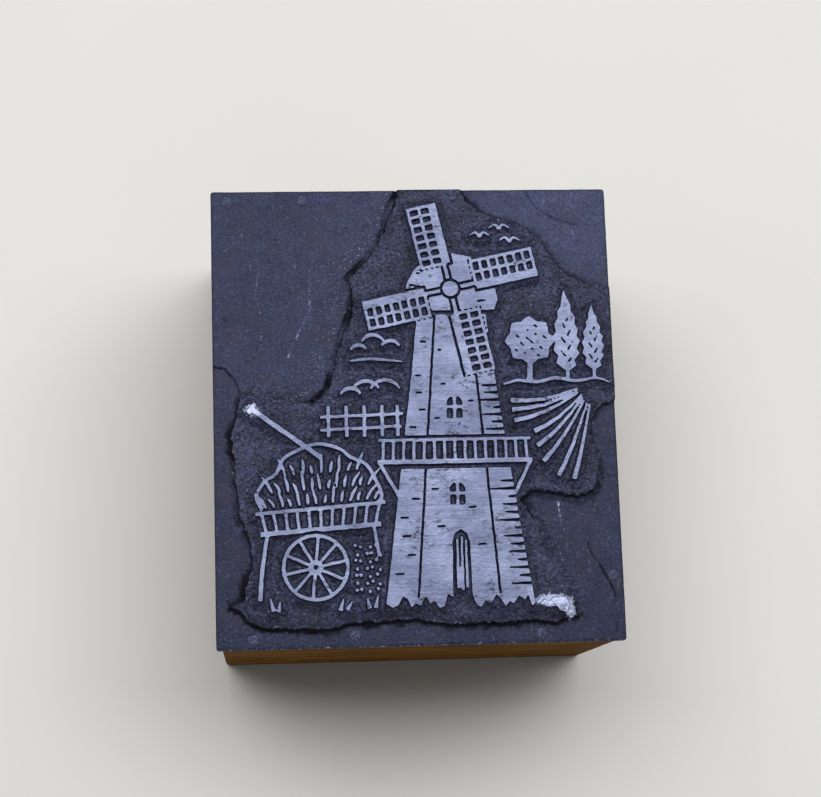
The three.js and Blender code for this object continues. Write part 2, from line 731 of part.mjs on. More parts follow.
function bradGeometry() {
  const shankRadius = bradShankDiameter / 2;
  const headRadius = bradHeadDiameter / 2;
  const profile = [
    new THREE.Vector2(0, -bradShankLength),
    new THREE.Vector2(shankRadius, bradPointLength - bradShankLength),
    new THREE.Vector2(shankRadius, 0),
    new THREE.Vector2(headRadius, 0),
    new THREE.Vector2(headRadius, bradHeadHeight * bradRimShare),
    new THREE.Vector2(headRadius * bradCrownShare, bradHeadHeight),
    new THREE.Vector2(0, bradHeadHeight),
  ];
  return new THREE.LatheGeometry(profile, bradSegments).rotateX(Math.PI / 2);
}

function bradHoles(brad) {
  const place = onPlate(brad.placeShares);
  const seat = bradSeat(brad);
  const tip = seat - bradShankLength - fitClearance;
  const shankHole = pin(bradShankDiameter / 2 + fitClearance, tip, typeHeight);
  const headSeat = pin(bradHeadDiameter / 2 + fitClearance, seat, typeHeight + cutOverrun);
  return shankHole.add(headSeat).translate([place.x, place.y, 0]);
}

// The three kinds of piece.

function plateGeometry() {
  const halfWidth = plateWidth / 2;
  const halfLength = plateLength / 2;
  const sheet = roundedRectangle(-halfWidth, halfWidth, -halfLength, halfLength, plateCornerRadius);
  const wide = cutOverrun + plateWidth;
  const long = cutOverrun + plateLength;
  const over = new THREE.Shape([
    new THREE.Vector2(-wide, -long), new THREE.Vector2(wide, -long), new THREE.Vector2(wide, long),
    new THREE.Vector2(-wide, long),
  ]);
  const cutTo = (shape, depth) => prism(shape, typeHeight - depth, typeHeight + cutOverrun);
  let plate = prism(sheet, baseTop, typeHeight);
  plate = plate.subtract(cutTo(over, etchDepth).subtract(picture()));
  plate = plate.subtract(cutTo(lowerRout(), lowerRoutDepth));
  plate = plate.subtract(cutTo(upperLeftRout(), upperRoutDepth));
  plate = plate.subtract(cutTo(upperRightRout(), upperRoutDepth));
  plate = plate.subtract(cutTo(stroke(grooveShares, grooveWidth), grooveDepth));
  return geometryOf(brads.reduce((solid, brad) => solid.subtract(bradHoles(brad)), plate));
}

function baseGeometry() {
  const section = roundedRectangle(
    leftInset - plateWidth / 2, plateWidth / 2 - rightInset,
    frontInset - plateLength / 2, plateLength / 2 - backInset, baseCornerRadius,
  );
  const base = prism(section, 0, baseTop);
  return geometryOf(brads.reduce((solid, brad) => solid.subtract(bradHoles(brad)), base));
}

function piece(name, geometry, color, roughness, metalness) {
  const mesh = new THREE.Mesh(geometry, new THREE.MeshStandardMaterial({ color, roughness, metalness }));
  mesh.name = name;
  return mesh;
}

const block = new THREE.Group();
block.add(piece("printing_plate", plateGeometry(), 0x45495f, 0.5, 0.7));
block.add(piece("wood_base", baseGeometry(), 0x8c693a, 0.75, 0));
for (const brad of brads) {
  const mesh = piece(brad.name, bradGeometry(), 0x5c5f6e, 0.45, 0.85);
  const place = onPlate(brad.placeShares);
  mesh.position.set(place.x, place.y, bradSeat(brad));
  block.add(mesh);
}

export default block;
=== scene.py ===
"""Looks of the letterpress printing block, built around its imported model.

Meshes are worked out in millimetres and turned to metres when made.
+X is the right of the picture, +Y its top, and +Z points out of the printing face.
"""

import math

import bpy
import numpy as np
from mathutils import Matrix, Vector
from mathutils.bvhtree import BVHTree
from mathutils.kdtree import KDTree


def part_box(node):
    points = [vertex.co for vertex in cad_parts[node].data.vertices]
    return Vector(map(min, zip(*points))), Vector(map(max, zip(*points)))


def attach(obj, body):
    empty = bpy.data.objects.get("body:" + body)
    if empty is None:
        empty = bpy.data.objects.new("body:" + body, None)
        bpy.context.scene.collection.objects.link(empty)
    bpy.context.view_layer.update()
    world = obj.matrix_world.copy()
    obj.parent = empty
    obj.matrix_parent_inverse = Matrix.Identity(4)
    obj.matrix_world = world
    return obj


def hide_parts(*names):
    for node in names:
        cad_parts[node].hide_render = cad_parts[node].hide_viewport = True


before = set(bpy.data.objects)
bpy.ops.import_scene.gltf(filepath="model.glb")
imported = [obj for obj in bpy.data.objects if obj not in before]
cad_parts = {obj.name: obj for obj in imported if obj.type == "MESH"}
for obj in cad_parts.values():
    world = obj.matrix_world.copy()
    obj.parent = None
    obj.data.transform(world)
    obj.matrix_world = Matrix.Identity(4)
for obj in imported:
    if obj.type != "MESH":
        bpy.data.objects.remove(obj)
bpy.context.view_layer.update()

MM = 0.001


def box_mm(node):
    """Lowest and highest corner of a CAD node, in millimetres."""
    low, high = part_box(node)
    return np.array(low) / MM, np.array(high) / MM


PLATE_LOW, PLATE_HIGH = box_mm("printing_plate")
BASE_LOW, BASE_HIGH = box_mm("wood_base")
WIDTH, LENGTH = (PLATE_HIGH - PLATE_LOW)[:2]
FACE = PLATE_HIGH[2]
BRADS = sorted(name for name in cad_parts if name.startswith("brad_"))

# Plate mesh: a grid that is fine along outlines and walls, and half as fine elsewhere.
CELL = 0.0918
CORNER_RADIUS = 0.2
FINE_INSIDE = 0.1
FINE_OUTSIDE = 0.22
FINE_ISLAND = 0.2
SNAP_SHARE = 0.52
APART_SHARE = 0.25
SHARP_ANGLE = 50

# Steps for reading the CAD plate's levels and outlines.
LEVEL_STEP = 0.02
SAMPLE_STEP = 0.02
SIDE_STEP = 0.04

# Slopes of the walls down from the printing face, the etched island and the two routed floors.
WALL_SLOPES = (3.2, 4.0, 2.2, 2.6)
GENTLE_SLOPE = 0.4
SHOULDER_RAG = 0.3
# How far those walls stray from their outline, finely and widely.
RAGGED = ((0, 0), (0.19, 0.14), (0.1, 0.08), (0.13, 0.08))

# Beside the lines of the picture the metal is etched less deep.
LINE_DEPTH = 0.2
LINE_SLOPE = 0.5
LINE_END = 0.15
LINE_GRAIN = 0.03
SWAY = 0.035

# The groove is partly filled. Just above the plate's middle the floor beside it changes height.
GROOVE_FILL = 0.92
FILL_SPAN = (-0.25, 0.3)
FLOOR_CHANGE = (0, 0.06)

# Texture of the etched and routed floors, and the share of it that wear takes off.
ETCHED_GRAIN = 0.042
ETCHED_SWELL = 0.04
ROUTED_GRAIN = 0.006
ROUTED_CLOUD = 0.014
WORN_OFF = 0.7
# The texture starts over these distances from the plate's edge.
TEXTURE_START = (0.1, 0.6)
# Where etched metal ends outside the island, further on its gentle sides, and where it is full inside.
ETCHED_OUTSIDE = 0.7
ETCHED_GENTLE = 1.6
ETCHED_INSIDE = 0.15
ETCHED_BESIDE_LINE = 0.22
# The router bit this deep and this far from the island's lower edge.
GOUGE_DEPTH = 0.2
GOUGE_REACH = 0.25

# The plate's upper edge: a bevel, and a weaker fall just before it.
BEVEL = 0.07
BEVEL_DROP = 0.055
ROLL_START = 0.25
ROLL_DROP = 0.3 * BEVEL_DROP
# The plate's walls, and how far they lie inside the CAD plate.
WALL_ROWS = 3
TOP_INSET = 0.02
BOTTOM_INSET = 0.012

# Noise over the plate: the width of its bumps, its seed and its layers.
PLATE_NOISES = {
    "fine": (0.32, 11, 3),
    "wide": (1.3, 17, 3),
    "grain": (0.21, 23, 2),
    "swell": (1.5, 29, 3),
    "cloud": (4.5, 31, 3),
    "fill": (2.6, 37, 3),
    "sway_across": (0.45, 41, 2),
    "sway_up": (0.45, 43, 2),
    "mark_path": (0.3, 47, 2),
    "mark_depth": (0.6, 51, 1),
    "pit_shape": (0.2, 59, 1),
}
EDGE_NOISE = (0.7, 61, 3)

# Regions in shares of the plate's width and then length: the span over which each begins and, unless it
# runs to the edge, ends. In the gentle ones the etched island slopes gently to a routed floor.
GENTLE_RIGHT = (((0.72, 0.78),), ((0.07, 0.11), (0.26, 0.3)))
GENTLE_LEFT = (((0.06, 0.09), (0.2, 0.24)), ((0.5, 0.52), (0.56, 0.58)))
# Here the router bit deep along the island's lower edge.
GOUGED = (((0.74, 0.78), (0.93, 0.98)), ((0.26, 0.29), (0.37, 0.4)))
# The dark metal is lighter here, and the groove holds little ink and painted shade here.
LIGHTER_CORNER = (((0.55, 0.9),), ((0.7, 0.95),))
FAINT_GROOVE = (((0.62, 0.72),), ((0.6, 0.75),))

# How far ink and painted shade fill the foot of the walls, and how dark they are there.
INK_AND_SHADE_REACH = (0.12, 0.5, 0.24, 0.26)
INK_AND_SHADE_SHARE = (0.12, 1.0, 0.8, 0.9)
# Ink and painted shade along the island's lip: where they fade from the front, how far they reach, and
# their share.
INK_AND_SHADE_FRONT = (4.5, 3)
LIP_INK_AND_SHADE_SPAN = (0.1, 0.75)
LIP_INK_AND_SHADE = 0.5
# Ink and painted shade on the floor beside the groove.
GROOVE_SIDE_REACH = 0.3
GROOVE_SIDE_INK_AND_SHADE = 0.3
LIP_PLACE = 0.1
LIP_WIDTH = 0.07

# Marks: points in shares of the plate's width and length, then width, depth and share of ink, which is
# negative where the metal is bare.
MARKS = (
    (((0.795, 0.997), (0.821, 0.96), (0.858, 0.937), (0.909, 0.92), (0.93, 0.918)), 0.06, 0.05, 0.5),
    (((0.915, 0.208), (0.928, 0.18), (0.942, 0.162), (0.967, 0.123), (0.978, 0.097)), 0.06, 0.09, 1.0),
    (((0.978, 0.097), (0.976, 0.074), (0.98, 0.054), (0.977, 0.018)), 0.055, 0.06, 0.6),
    (((0.245, 0.822), (0.244, 0.754), (0.241, 0.721), (0.218, 0.688), (0.197, 0.65), (0.179, 0.61)),
     0.08, 0.0, -0.28),
    (((0.119, 0.84), (0.108, 0.77), (0.122, 0.71), (0.121, 0.64)), 0.08, 0.012, -0.18),
    (((0.9, 0.7), (0.935, 0.735), (0.97, 0.742)), 0.09, 0.03, 0.4),
    (((0.052, 0.08), (0.036, 0.092), (0.03, 0.104)), 0.07, 0.05, 0.8),
    (((0.31, 0.76), (0.296, 0.72), (0.262, 0.69)), 0.07, 0.0, -0.2),
    (((0.66, 0.86), (0.7, 0.842), (0.752, 0.846)), 0.07, 0.0, -0.22),
    (((0.846, 0.3), (0.85, 0.262)), 0.07, 0.02, -0.5),
    (((0.868, 0.062), (0.888, 0.056), (0.9, 0.05)), 0.07, 0.04, 0.6),
)
MARK_WOBBLE = 0.05
MARK_FINE = 2.5

# Pits with a faint rim, at chosen places and at random ones.
PIT_SHARES = ((0.275, 0.757), (0.16, 0.89), (0.335, 0.028), (0.745, 0.9))
PIT_COUNT = 26
PIT_SEED = 53
PIT_RADII = (0.06, 0.13)
PIT_DEPTH = 0.05
PIT_INK = 0.7
PIT_RIM = 0.35
PIT_RIM_PLACE = 1.7
PIT_FINE = 3

# Worn places: a place in shares, then half its width and height in millimetres.
WORN = (((0.822, 0.088), 1.8, 0.6), ((0.862, 0.07), 0.55, 0.9), ((0.098, 0.508), 0.8, 0.6))
WORN_SPAN = (0.3, 1.2)

# Brads, as in the model, and the hammered dent round each one with the seat of its head.
HEAD_RADIUS = 0.45
HEAD_HEIGHT = 0.3
SHANK_RADIUS = 0.25
POINT_LENGTH = 0.9
SEAT_RADIUS = 0.5
DISH_RADIUS = 1.05
DISH_DEPTH = 0.012
DISH_FINE = 1.15
PRINT_INSETS = (0.18, 0.06)
PRINT_DEPTH = 0.16

LATTICE = 192
LAYER_FADE = 1.7


def lattice_noise(x, y, size, seed):
    """Smooth noise from -1 to 1 whose bumps are about size wide."""
    values = np.random.default_rng(seed).uniform(-1, 1, (LATTICE, LATTICE))
    u, v = x / size, y / size
    column, row = np.floor(u).astype(int), np.floor(v).astype(int)
    across, up = u - column, v - row
    across, up = across * across * (3 - 2 * across), up * up * (3 - 2 * up)
    left, right = column % LATTICE, (column + 1) % LATTICE
    low, high = row % LATTICE, (row + 1) % LATTICE
    below = values[left, low] * (1 - across) + values[right, low] * across
    above = values[left, high] * (1 - across) + values[right, high] * across
    return below * (1 - up) + above * up


def layered_noise(x, y, size, seed, layers):
    """Noise with finer and weaker layers on top of the first."""
    total = sum(lattice_noise(x, y, size / 2**n, seed + n) / LAYER_FADE**n for n in range(layers))
    return total / sum(1 / LAYER_FADE**n for n in range(layers))


def rise(value, low, high):
    """Rises smoothly from 0 at low to 1 at high."""
    share = np.clip((value - low) / (high - low), 0, 1)
    return share * share * (3 - 2 * share)


def on_plate(shares):
    """Points in millimetres from shares of the plate's width and length."""
    return np.array(shares) * (WIDTH, LENGTH) + PLATE_LOW[:2]


def distance_to_line(x, y, points):
    """Distance of each place to a line through the points."""
    nearest = np.full(x.shape, np.inf)
    for start, end in zip(points, points[1:]):
        run = end - start
        along = ((x - start[0]) * run[0] + (y - start[1]) * run[1]) / (run @ run)
        along = np.clip(along, 0, 1)
        gap = np.hypot(x - start[0] - along * run[0], y - start[1] - along * run[1])
        nearest = np.minimum(nearest, gap)
    return nearest


def make_tree(places):
    """A tree that finds the nearest of many places."""
    tree = KDTree(len(places))
    for index, place in enumerate(places):
        tree.insert(place, index)
    tree.balance()
    return tree


class Relief:
    """The plate's levels and outlines, read from the CAD plate."""

    def __init__(self):
        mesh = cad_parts["printing_plate"].data
        mesh.calc_loop_triangles()
        points = np.array([v.co for v in mesh.vertices]) / MM
        corners = np.array([t.vertices for t in mesh.loop_triangles])
        self.surface = BVHTree.FromPolygons(points.tolist(), corners.tolist())
        self.brads = [sum(box_mm(name))[:2] / 2 for name in BRADS]
        first, second, third = (points[corners[:, n]] for n in range(3))
        normals = np.cross(second - first, third - first)
        size = np.linalg.norm(normals, axis=1)
        flat = corners[(normals[:, 2] > 0.99 * size) & (size > 0)]
        # The printing face, the etched island, the upper and the lower routed floor, and the groove.
        self.levels = np.unique(points[flat[:, 0], 2].round(2))[::-1][:5]
        self.trees = self.find_outlines(points, flat)

    def height_at(self, x, y):
        """Height of the CAD plate, with the brads' seats filled in."""
        for place in self.brads:
            if math.hypot(x - place[0], y - place[1]) < SEAT_RADIUS + 2 * SIDE_STEP:
                x, y = place[0] + SEAT_RADIUS + 3 * SIDE_STEP, place[1]
        hit = self.surface.ray_cast((x, y, FACE + 1), (0, 0, -1))[0]
        return hit.z if hit else -np.inf

    def find_outlines(self, points, flat):
        """A tree for each level but the lowest, with the outline of all that is as high or higher."""
        merged, same = np.unique(points.round(4), axis=0, return_inverse=True)
        flat = same.reshape(-1)[flat]
        edges = np.concatenate([flat[:, [0, 1]], flat[:, [1, 2]], flat[:, [2, 0]]])
        pairs, counts = np.unique(np.sort(edges, axis=1), axis=0, return_counts=True)
        found = [[] for _ in self.levels[:-1]]
        for a, b in pairs[counts == 1]:
            start, end = merged[a, :2], merged[b, :2]
            length = np.linalg.norm(end - start)
            side = np.array([end[1] - start[1], start[0] - end[0]]) / max(length, 1e-6) * SIDE_STEP
            for share in np.linspace(0, 1, int(length / SAMPLE_STEP) + 2):
                place = start + share * (end - start)
                middle = start + np.clip(share, 0.1, 0.9) * (end - start)
                one, other = self.height_at(*(middle + side)), self.height_at(*(middle - side))
                if min(one, other) == -np.inf:
                    continue
                for index, level in enumerate(self.levels[:-1]):
                    if (one > level - LEVEL_STEP) != (other > level - LEVEL_STEP):
                        found[index].append((place[0], place[1], 0))
        return [make_tree(places) for places in found]


def corner_frame(x, y):
    """The nearest point of the plate without its rounding, the way out from it and the distance."""
    core_x = np.clip(x, PLATE_LOW[0] + CORNER_RADIUS, PLATE_HIGH[0] - CORNER_RADIUS)
    core_y = np.clip(y, PLATE_LOW[1] + CORNER_RADIUS, PLATE_HIGH[1] - CORNER_RADIUS)
    away = np.hypot(x - core_x, y - core_y)
    length = np.maximum(away, 1e-9)
    return core_x, core_y, (x - core_x) / length, (y - core_y) / length, away


def plate_grid():
    """Grid places, pulled in a little at the plate's corners."""
    columns = 2 * round((WIDTH - 2 * BEVEL) / CELL / 2)
    rows = 2 * round((LENGTH - 2 * BEVEL) / CELL / 2)
    x, y = np.meshgrid(
        np.linspace(PLATE_LOW[0] + BEVEL, PLATE_HIGH[0] - BEVEL, columns + 1),
        np.linspace(PLATE_LOW[1] + BEVEL, PLATE_HIGH[1] - BEVEL, rows + 1),
        indexing="ij",
    )
    core_x, core_y, out_x, out_y, away = corner_frame(x, y)
    away = np.minimum(away, CORNER_RADIUS - BEVEL)
    return core_x + out_x * away, core_y + out_y * away


class PlateTop:
    """The plate's upper side: places, heights, the need for detail and the state of the metal.

    A gap is the distance to the outline of a level, negative where the plate is that high.
    """

    def __init__(self, relief):
        self.relief, self.levels = relief, relief.levels
        x, y = plate_grid()
        self.shape = x.shape
        self.x, self.y = x.ravel(), y.ravel()
        self.level = np.array([relief.height_at(a, b) for a, b in zip(self.x, self.y)])
        self.gaps = [self.find_gap(index) for index in range(len(relief.trees))]
        self.snap_to_picture()
        self.sunk = self.gaps[0] > 0
        self.border = np.minimum(WIDTH / 2 - np.abs(self.x), LENGTH / 2 - np.abs(self.y))
        self.inner = rise(self.border, *TEXTURE_START)
        self.fine, self.wide, self.grain, self.cloud = map(self.noise, ("fine", "wide", "grain", "cloud"))
        self.ragged = []
        for gap, (fine, wide) in zip(self.gaps, RAGGED):
            self.ragged.append(gap + fine * self.fine + wide * self.wide)
        self.in_groove = self.level < self.levels[3] - LEVEL_STEP
        self.filled = rise(self.noise("fill"), *FILL_SPAN)
        self.gentle = np.maximum(self.region(GENTLE_RIGHT), self.region(GENTLE_LEFT))
        self.gouged = self.region(GOUGED)
        self.rough = self.find_rough()
        self.worn_and_highlighted = self.find_wear_and_highlight()
        self.inked_and_shaded = self.find_ink_and_shade()

        self.height = self.find_floors() + self.find_texture() - self.find_gouge()
        self.raise_picture()
        self.detail = self.find_detail()
        self.stain = self.bare = np.zeros(self.x.shape)
        self.cut_marks()
        self.press_pits()
        self.press_dents()
        self.height -= ROLL_DROP * (1 - rise(self.border, BEVEL, ROLL_START)) * (1 + self.wide)
        self.sway_lines()

    def noise(self, name):
        return layered_noise(self.x, self.y, *PLATE_NOISES[name])

    def region(self, spans):
        """How far each place lies in a region with soft sides, from 0 to 1."""
        found = 1
        shares = self.x / WIDTH + 0.5, self.y / LENGTH + 0.5
        for share, (begin, *end) in zip(shares, spans):
            found *= rise(share, *begin)
            for span in end:
                found *= 1 - rise(share, *span)
        return found

    def distance(self, place):
        return np.hypot(self.x - place[0], self.y - place[1])

    def find_gap(self, index):
        tree = self.relief.trees[index]
        distance = np.array([tree.find((a, b, 0))[2] for a, b in zip(self.x, self.y)])
        return np.where(self.level > self.levels[index] - LEVEL_STEP, -1, 1) * distance

    def snap_to_picture(self):
        """Moves places beside the picture's outline onto it, the nearest first, if there is room."""
        gap = self.gaps[0]
        steps = (-1, 0, 1)
        around = np.array([p * self.shape[1] + q for p in steps for q in steps if (p, q) != (0, 0)])
        near = np.flatnonzero(np.abs(gap) < SNAP_SHARE * CELL)
        for vertex in near[np.argsort(np.abs(gap[near]))]:
            place = self.relief.trees[0].find((self.x[vertex], self.y[vertex], 0))[0]
            beside = vertex + around
            apart = np.hypot(self.x[beside] - place[0], self.y[beside] - place[1]).min()
            if apart > APART_SHARE * CELL:
                self.x[vertex], self.y[vertex] = place[0], place[1]
                gap[vertex] = 0

    def find_rough(self):
        """Where the metal is etched, from 0 to 1."""
        outside = -ETCHED_OUTSIDE - ETCHED_GENTLE * self.gentle
        on_island = rise(-self.gaps[1], outside, ETCHED_INSIDE)
        return on_island * rise(self.gaps[0], 0, ETCHED_BESIDE_LINE)

    def find_floors(self):
        """Heights of the groove, the floors and the island, with ragged sloping walls."""
        levels = self.levels
        beside_groove = levels[3] + rise(self.y / LENGTH, *FLOOR_CHANGE) * (levels[2] - levels[3])
        height = levels[-1] + self.in_groove * GROOVE_FILL * self.filled * (beside_groove - levels[-1])
        for index in (3, 2, 1):
            slope = WALL_SLOPES[index] * (1 - self.gentle) + GENTLE_SLOPE * self.gentle
            height = np.maximum(height, levels[index] - slope * np.maximum(0, self.ragged[index]))
        return height

    def find_texture(self):
        """The grain of the etched metal and the slight unevenness of the routed floors."""
        etched = ETCHED_GRAIN * (1 - WORN_OFF * self.worn_and_highlighted) * self.grain
        etched += ETCHED_SWELL * self.noise("swell")
        routed = ROUTED_GRAIN * self.grain + ROUTED_CLOUD * self.cloud
        return self.inner * (self.rough * etched + (1 - self.rough) * routed)

    def find_gouge(self):
        """How much deeper the router bit beside the island's lower edge."""
        across = np.exp(-(((self.ragged[1] - GOUGE_REACH) / GOUGE_REACH) ** 2))
        return self.inner * GOUGE_DEPTH * self.gouged * across

    def raise_picture(self):
        """Adds the printing face, its shoulders and the shallower metal beside its lines."""
        gap = self.gaps[0]
        shoulder = FACE - WALL_SLOPES[0] * np.maximum(0, gap) * (1 + SHOULDER_RAG * self.wide)
        fall = WALL_SLOPES[1] * np.maximum(0, self.ragged[1] + LINE_END)
        beside_line = FACE - LINE_DEPTH - LINE_SLOPE * gap - fall
        height = np.maximum(self.height, beside_line + self.inner * LINE_GRAIN * self.grain)
        self.height = np.minimum(np.maximum(height, shoulder), FACE)
        self.height[~self.sunk] = FACE

    def find_detail(self):
        """Where the mesh has to be fine: along the picture's outline and along the walls."""
        face_gap, island_gap = self.gaps[:2]
        detail = (face_gap > -FINE_INSIDE) & (face_gap < FINE_OUTSIDE)
        detail |= (island_gap < FINE_ISLAND) & (face_gap < 2 * FINE_OUTSIDE) & self.sunk
        for gap in self.gaps[1:]:
            detail |= (np.abs(gap) < FINE_OUTSIDE) & self.sunk
        return detail

    def cut_marks(self):
        """Cuts the cracks and scratches, which are inked or bare."""
        wobble = MARK_WOBBLE * self.noise("mark_path")
        uneven = 0.85 + 0.3 * self.noise("mark_depth")
        for shares, width, depth, share in MARKS:
            gap = distance_to_line(self.x, self.y, on_plate(shares)) + wobble
            cut = self.sunk * np.exp(-((gap / width) ** 2)) * uneven
            self.height -= depth * cut
            self.stain = np.maximum(self.stain, share * cut)
            self.bare = np.maximum(self.bare, -share * cut)
            self.detail |= self.sunk & (gap < MARK_FINE * width)

    def press_pits(self):
        """Presses the pits, which hold ink."""
        random = np.random.default_rng(PIT_SEED)
        scattered = random.uniform(0.02, 0.98, (PIT_COUNT, 2))
        uneven = 1 + 0.3 * self.noise("pit_shape")
        for place in [*on_plate(PIT_SHARES), *on_plate(scattered)]:
            radius = random.uniform(*PIT_RADII)
            gap = self.distance(place) * uneven
            rim = np.exp(-(((gap - PIT_RIM_PLACE * radius) / radius) ** 2))
            dent = np.exp(-((gap / radius) ** 2)) - PIT_RIM * rim
            self.height -= self.sunk * PIT_DEPTH * dent
            self.stain = np.maximum(self.stain, PIT_INK * self.sunk * dent)
            self.detail |= self.sunk & (gap < PIT_FINE * radius)

    def press_dents(self):
        """Presses the hammered dents round the brads, with the seats of their heads."""
        for place in self.relief.brads:
            gap = self.distance(place)
            dish = 1 - rise(gap, HEAD_RADIUS, DISH_RADIUS)
            seat = 1 - rise(gap, *(HEAD_RADIUS - inset for inset in PRINT_INSETS))
            self.height -= self.sunk * (DISH_DEPTH * dish + PRINT_DEPTH * seat)
            self.detail |= gap < DISH_FINE

    def sway_lines(self):
        """Makes the lines of the picture waver a little."""
        sway = self.inner * SWAY
        self.x = self.x + sway * self.noise("sway_across")
        self.y = self.y + sway * self.noise("sway_up")

    def lip(self):
        """The narrow rim of the etched island."""
        return np.exp(-(((self.ragged[1] + LIP_PLACE) / LIP_WIDTH) ** 2))

    def find_wear_and_highlight(self):
        """Where metal shows through the ink at the plate's edges and the worn places, with a painted
        highlight along the lip.
        """
        front = rise(-self.y, LENGTH / 2 - 0.4, LENGTH / 2 - 0.1)
        edge = 1 - rise(self.border, 0.04, 0.1 + 0.05 * self.fine)
        found = (0.05 + 0.18 * front) * edge
        # A painted highlight along the island's lip.
        found = np.maximum(found, self.lip() * (0.12 + 0.16 * self.wide))
        for shares, half_width, half_height in WORN:
            place = on_plate(shares)
            gap = np.hypot((self.x - place[0]) / half_width, (self.y - place[1]) / half_height)
            found = np.maximum(found, 1 - rise(gap + 0.3 * self.fine, *WORN_SPAN))
        return np.clip(found, 0, 1)

    def find_ink_and_shade(self):
        """Ink and painted shade in the groove, beside it, at the foot of the walls, and along the lip
        towards the front.
        """
        wavering = (1 + 0.5 * self.wide + 0.3 * self.fine) / (1 + 1.1 * self.gouged)
        front = rise(-self.y, *(LENGTH / 2 - distance for distance in INK_AND_SHADE_FRONT))
        inside = (self.ragged[1] <= 0) * (1 - rise(-self.ragged[1] * wavering, *LIP_INK_AND_SHADE_SPAN))
        found = LIP_INK_AND_SHADE * front * inside * (1 - 0.7 * self.lip())
        for gap, reach, share in zip(self.ragged, INK_AND_SHADE_REACH, INK_AND_SHADE_SHARE):
            foot = 1 - rise(gap * wavering, 0.4 * reach, reach)
            found = np.maximum(found, share * (gap > 0) * foot)
        beside = GROOVE_SIDE_INK_AND_SHADE * (1 - rise(-self.ragged[3] * wavering, 0, GROOVE_SIDE_REACH))
        found = np.maximum(found, beside)
        clean = np.maximum(0.88 * self.filled, 0.6 * self.region(FAINT_GROOVE)) * (1 - 0.85 * front)
        groove = (0.9 + 0.3 * self.fine) * (1 - clean)
        return np.where(self.in_groove, groove, found * (1 - clean * (self.ragged[1] > -LIP_PLACE)))

    def find_tone(self):
        """How light the inked metal is: lighter in the upper half and the top right corner, darker off
        the upper floor, with clouds.
        """
        upper_half = rise(self.y / LENGTH + 0.5, 0.45, 0.6)
        upper_floor = self.level > self.levels[2] - LEVEL_STEP
        tone = 0.45 + 0.12 * upper_half + 0.55 * self.region(LIGHTER_CORNER)
        return tone - 0.05 * (1 - upper_floor) + 0.1 * self.cloud

    def find_glint_density(self):
        """How thick the painted glints lie: more on the etched metal and left of the groove."""
        below_island = self.level < self.levels[1] - LEVEL_STEP
        upper_floor = below_island & (self.level > self.levels[2] - LEVEL_STEP)
        beside = upper_floor * (1 - rise(-self.ragged[3], 0.2, 2.2))
        return np.clip(0.25 + 0.1 * self.cloud + 0.3 * self.rough + 0.7 * beside, 0, 1)

    def fields(self):
        """The state of the metal at each place, with painted shade, highlight and glints, for the
        material.
        """
        return {
            "rough": self.rough,
            "tone": self.find_tone(),
            "wear_and_highlight": np.maximum(self.worn_and_highlighted, self.bare),
            "ink_and_shade": np.maximum(self.stain, self.inked_and_shaded * (1 - self.gentle) * (1 - self.worn_and_highlighted)),
            "glint_density": self.find_glint_density(),
        }


def grid_faces(height, detail):
    """Triangles where there is detail, and larger faces with all the corners their neighbours use."""
    columns, rows = height.shape
    number = np.arange(columns * rows).reshape(columns, rows)
    across, up = ([slice(n, size - 2 + n, 2) for n in range(3)] for size in (columns, rows))
    corners = [(i, j) for i in across for j in up]
    fine = np.any([detail[corner] for corner in corners], axis=0)
    used = np.zeros((columns, rows), bool)
    used[::2, ::2] = True
    for corner in corners:
        used[corner] |= fine

    small = np.kron(fine, np.ones((2, 2), bool))
    a, b = number[:-1, :-1][small], number[1:, :-1][small]
    c, d = number[1:, 1:][small], number[:-1, 1:][small]
    level = height.ravel()
    across = np.abs(level[a] - level[c]) <= np.abs(level[b] - level[d])
    ends = np.where(across, c, d)
    starts = np.where(across, a, b)
    faces = np.concatenate([np.stack([a, b, ends], 1), np.stack([starts, c, d], 1)]).tolist()

    round_trip = ((0, 0), (1, 0), (2, 0), (2, 1), (2, 2), (1, 2), (0, 2), (0, 1))
    for i, j in np.argwhere(~fine) * 2:
        faces.append([number[i + p, j + q] for p, q in round_trip if used[i + p, j + q]])
    return faces, used


def border_loop(used):
    """Grid numbers of the used border vertices, counterclockwise from above."""
    number = np.arange(used.size).reshape(used.shape)
    trip = [number[:-1, 0], number[-1, :-1], number[:0:-1, -1], number[0, :0:-1]]
    kept = [used[:-1, 0], used[-1, :-1], used[:0:-1, -1], used[0, :0:-1]]
    return np.concatenate([run[keep] for run, keep in zip(trip, kept)])


def strip(upper, lower):
    """Quads between two rings of vertices, facing out."""
    return np.stack([upper, lower, np.roll(lower, -1), np.roll(upper, -1)], 1).tolist()


def stacked_rings(count, rows):
    """Faces of a closed body whose points are rings of one size, from the lowest up."""
    rings = [np.arange(count) + count * n for n in range(rows)]
    faces = []
    for lower, upper in zip(rings, rings[1:]):
        faces += strip(upper, lower)
    return faces + [rings[0][::-1].tolist(), rings[-1].tolist()]


def new_object(name, data):
    """A new object in the scene."""
    made = bpy.data.objects.new(name, data)
    bpy.context.scene.collection.objects.link(made)
    return made


def mesh_object(name, points, faces, fields=None):
    """A smooth-shaded mesh with sharp edges, from points in millimetres and values for its points."""
    mesh = bpy.data.meshes.new(name)
    mesh.from_pydata((np.asarray(points) * MM).tolist(), [], faces)
    for field, values in (fields or {}).items():
        made = mesh.attributes.new(field, "FLOAT", "POINT")
        made.data.foreach_set("value", np.asarray(values, np.float32))
    mesh.shade_smooth()
    mesh.set_sharp_from_angle(angle=math.radians(SHARP_ANGLE))
    return new_object(name, mesh)


# State of the metal, with its painted shade, highlight and glints, on the plate's walls, and along their
# upper edge, at the front and behind.
WALL_FIELDS = {"rough": 0.2, "tone": 0.3, "wear_and_highlight": 0.1, "ink_and_shade": 0.4, "glint_density": 0.1}
FRONT_REACH = 1
EDGE_FIELDS = {"wear_and_highlight": (0.38, 0.0), "ink_and_shade": (0.2, 0.8)}


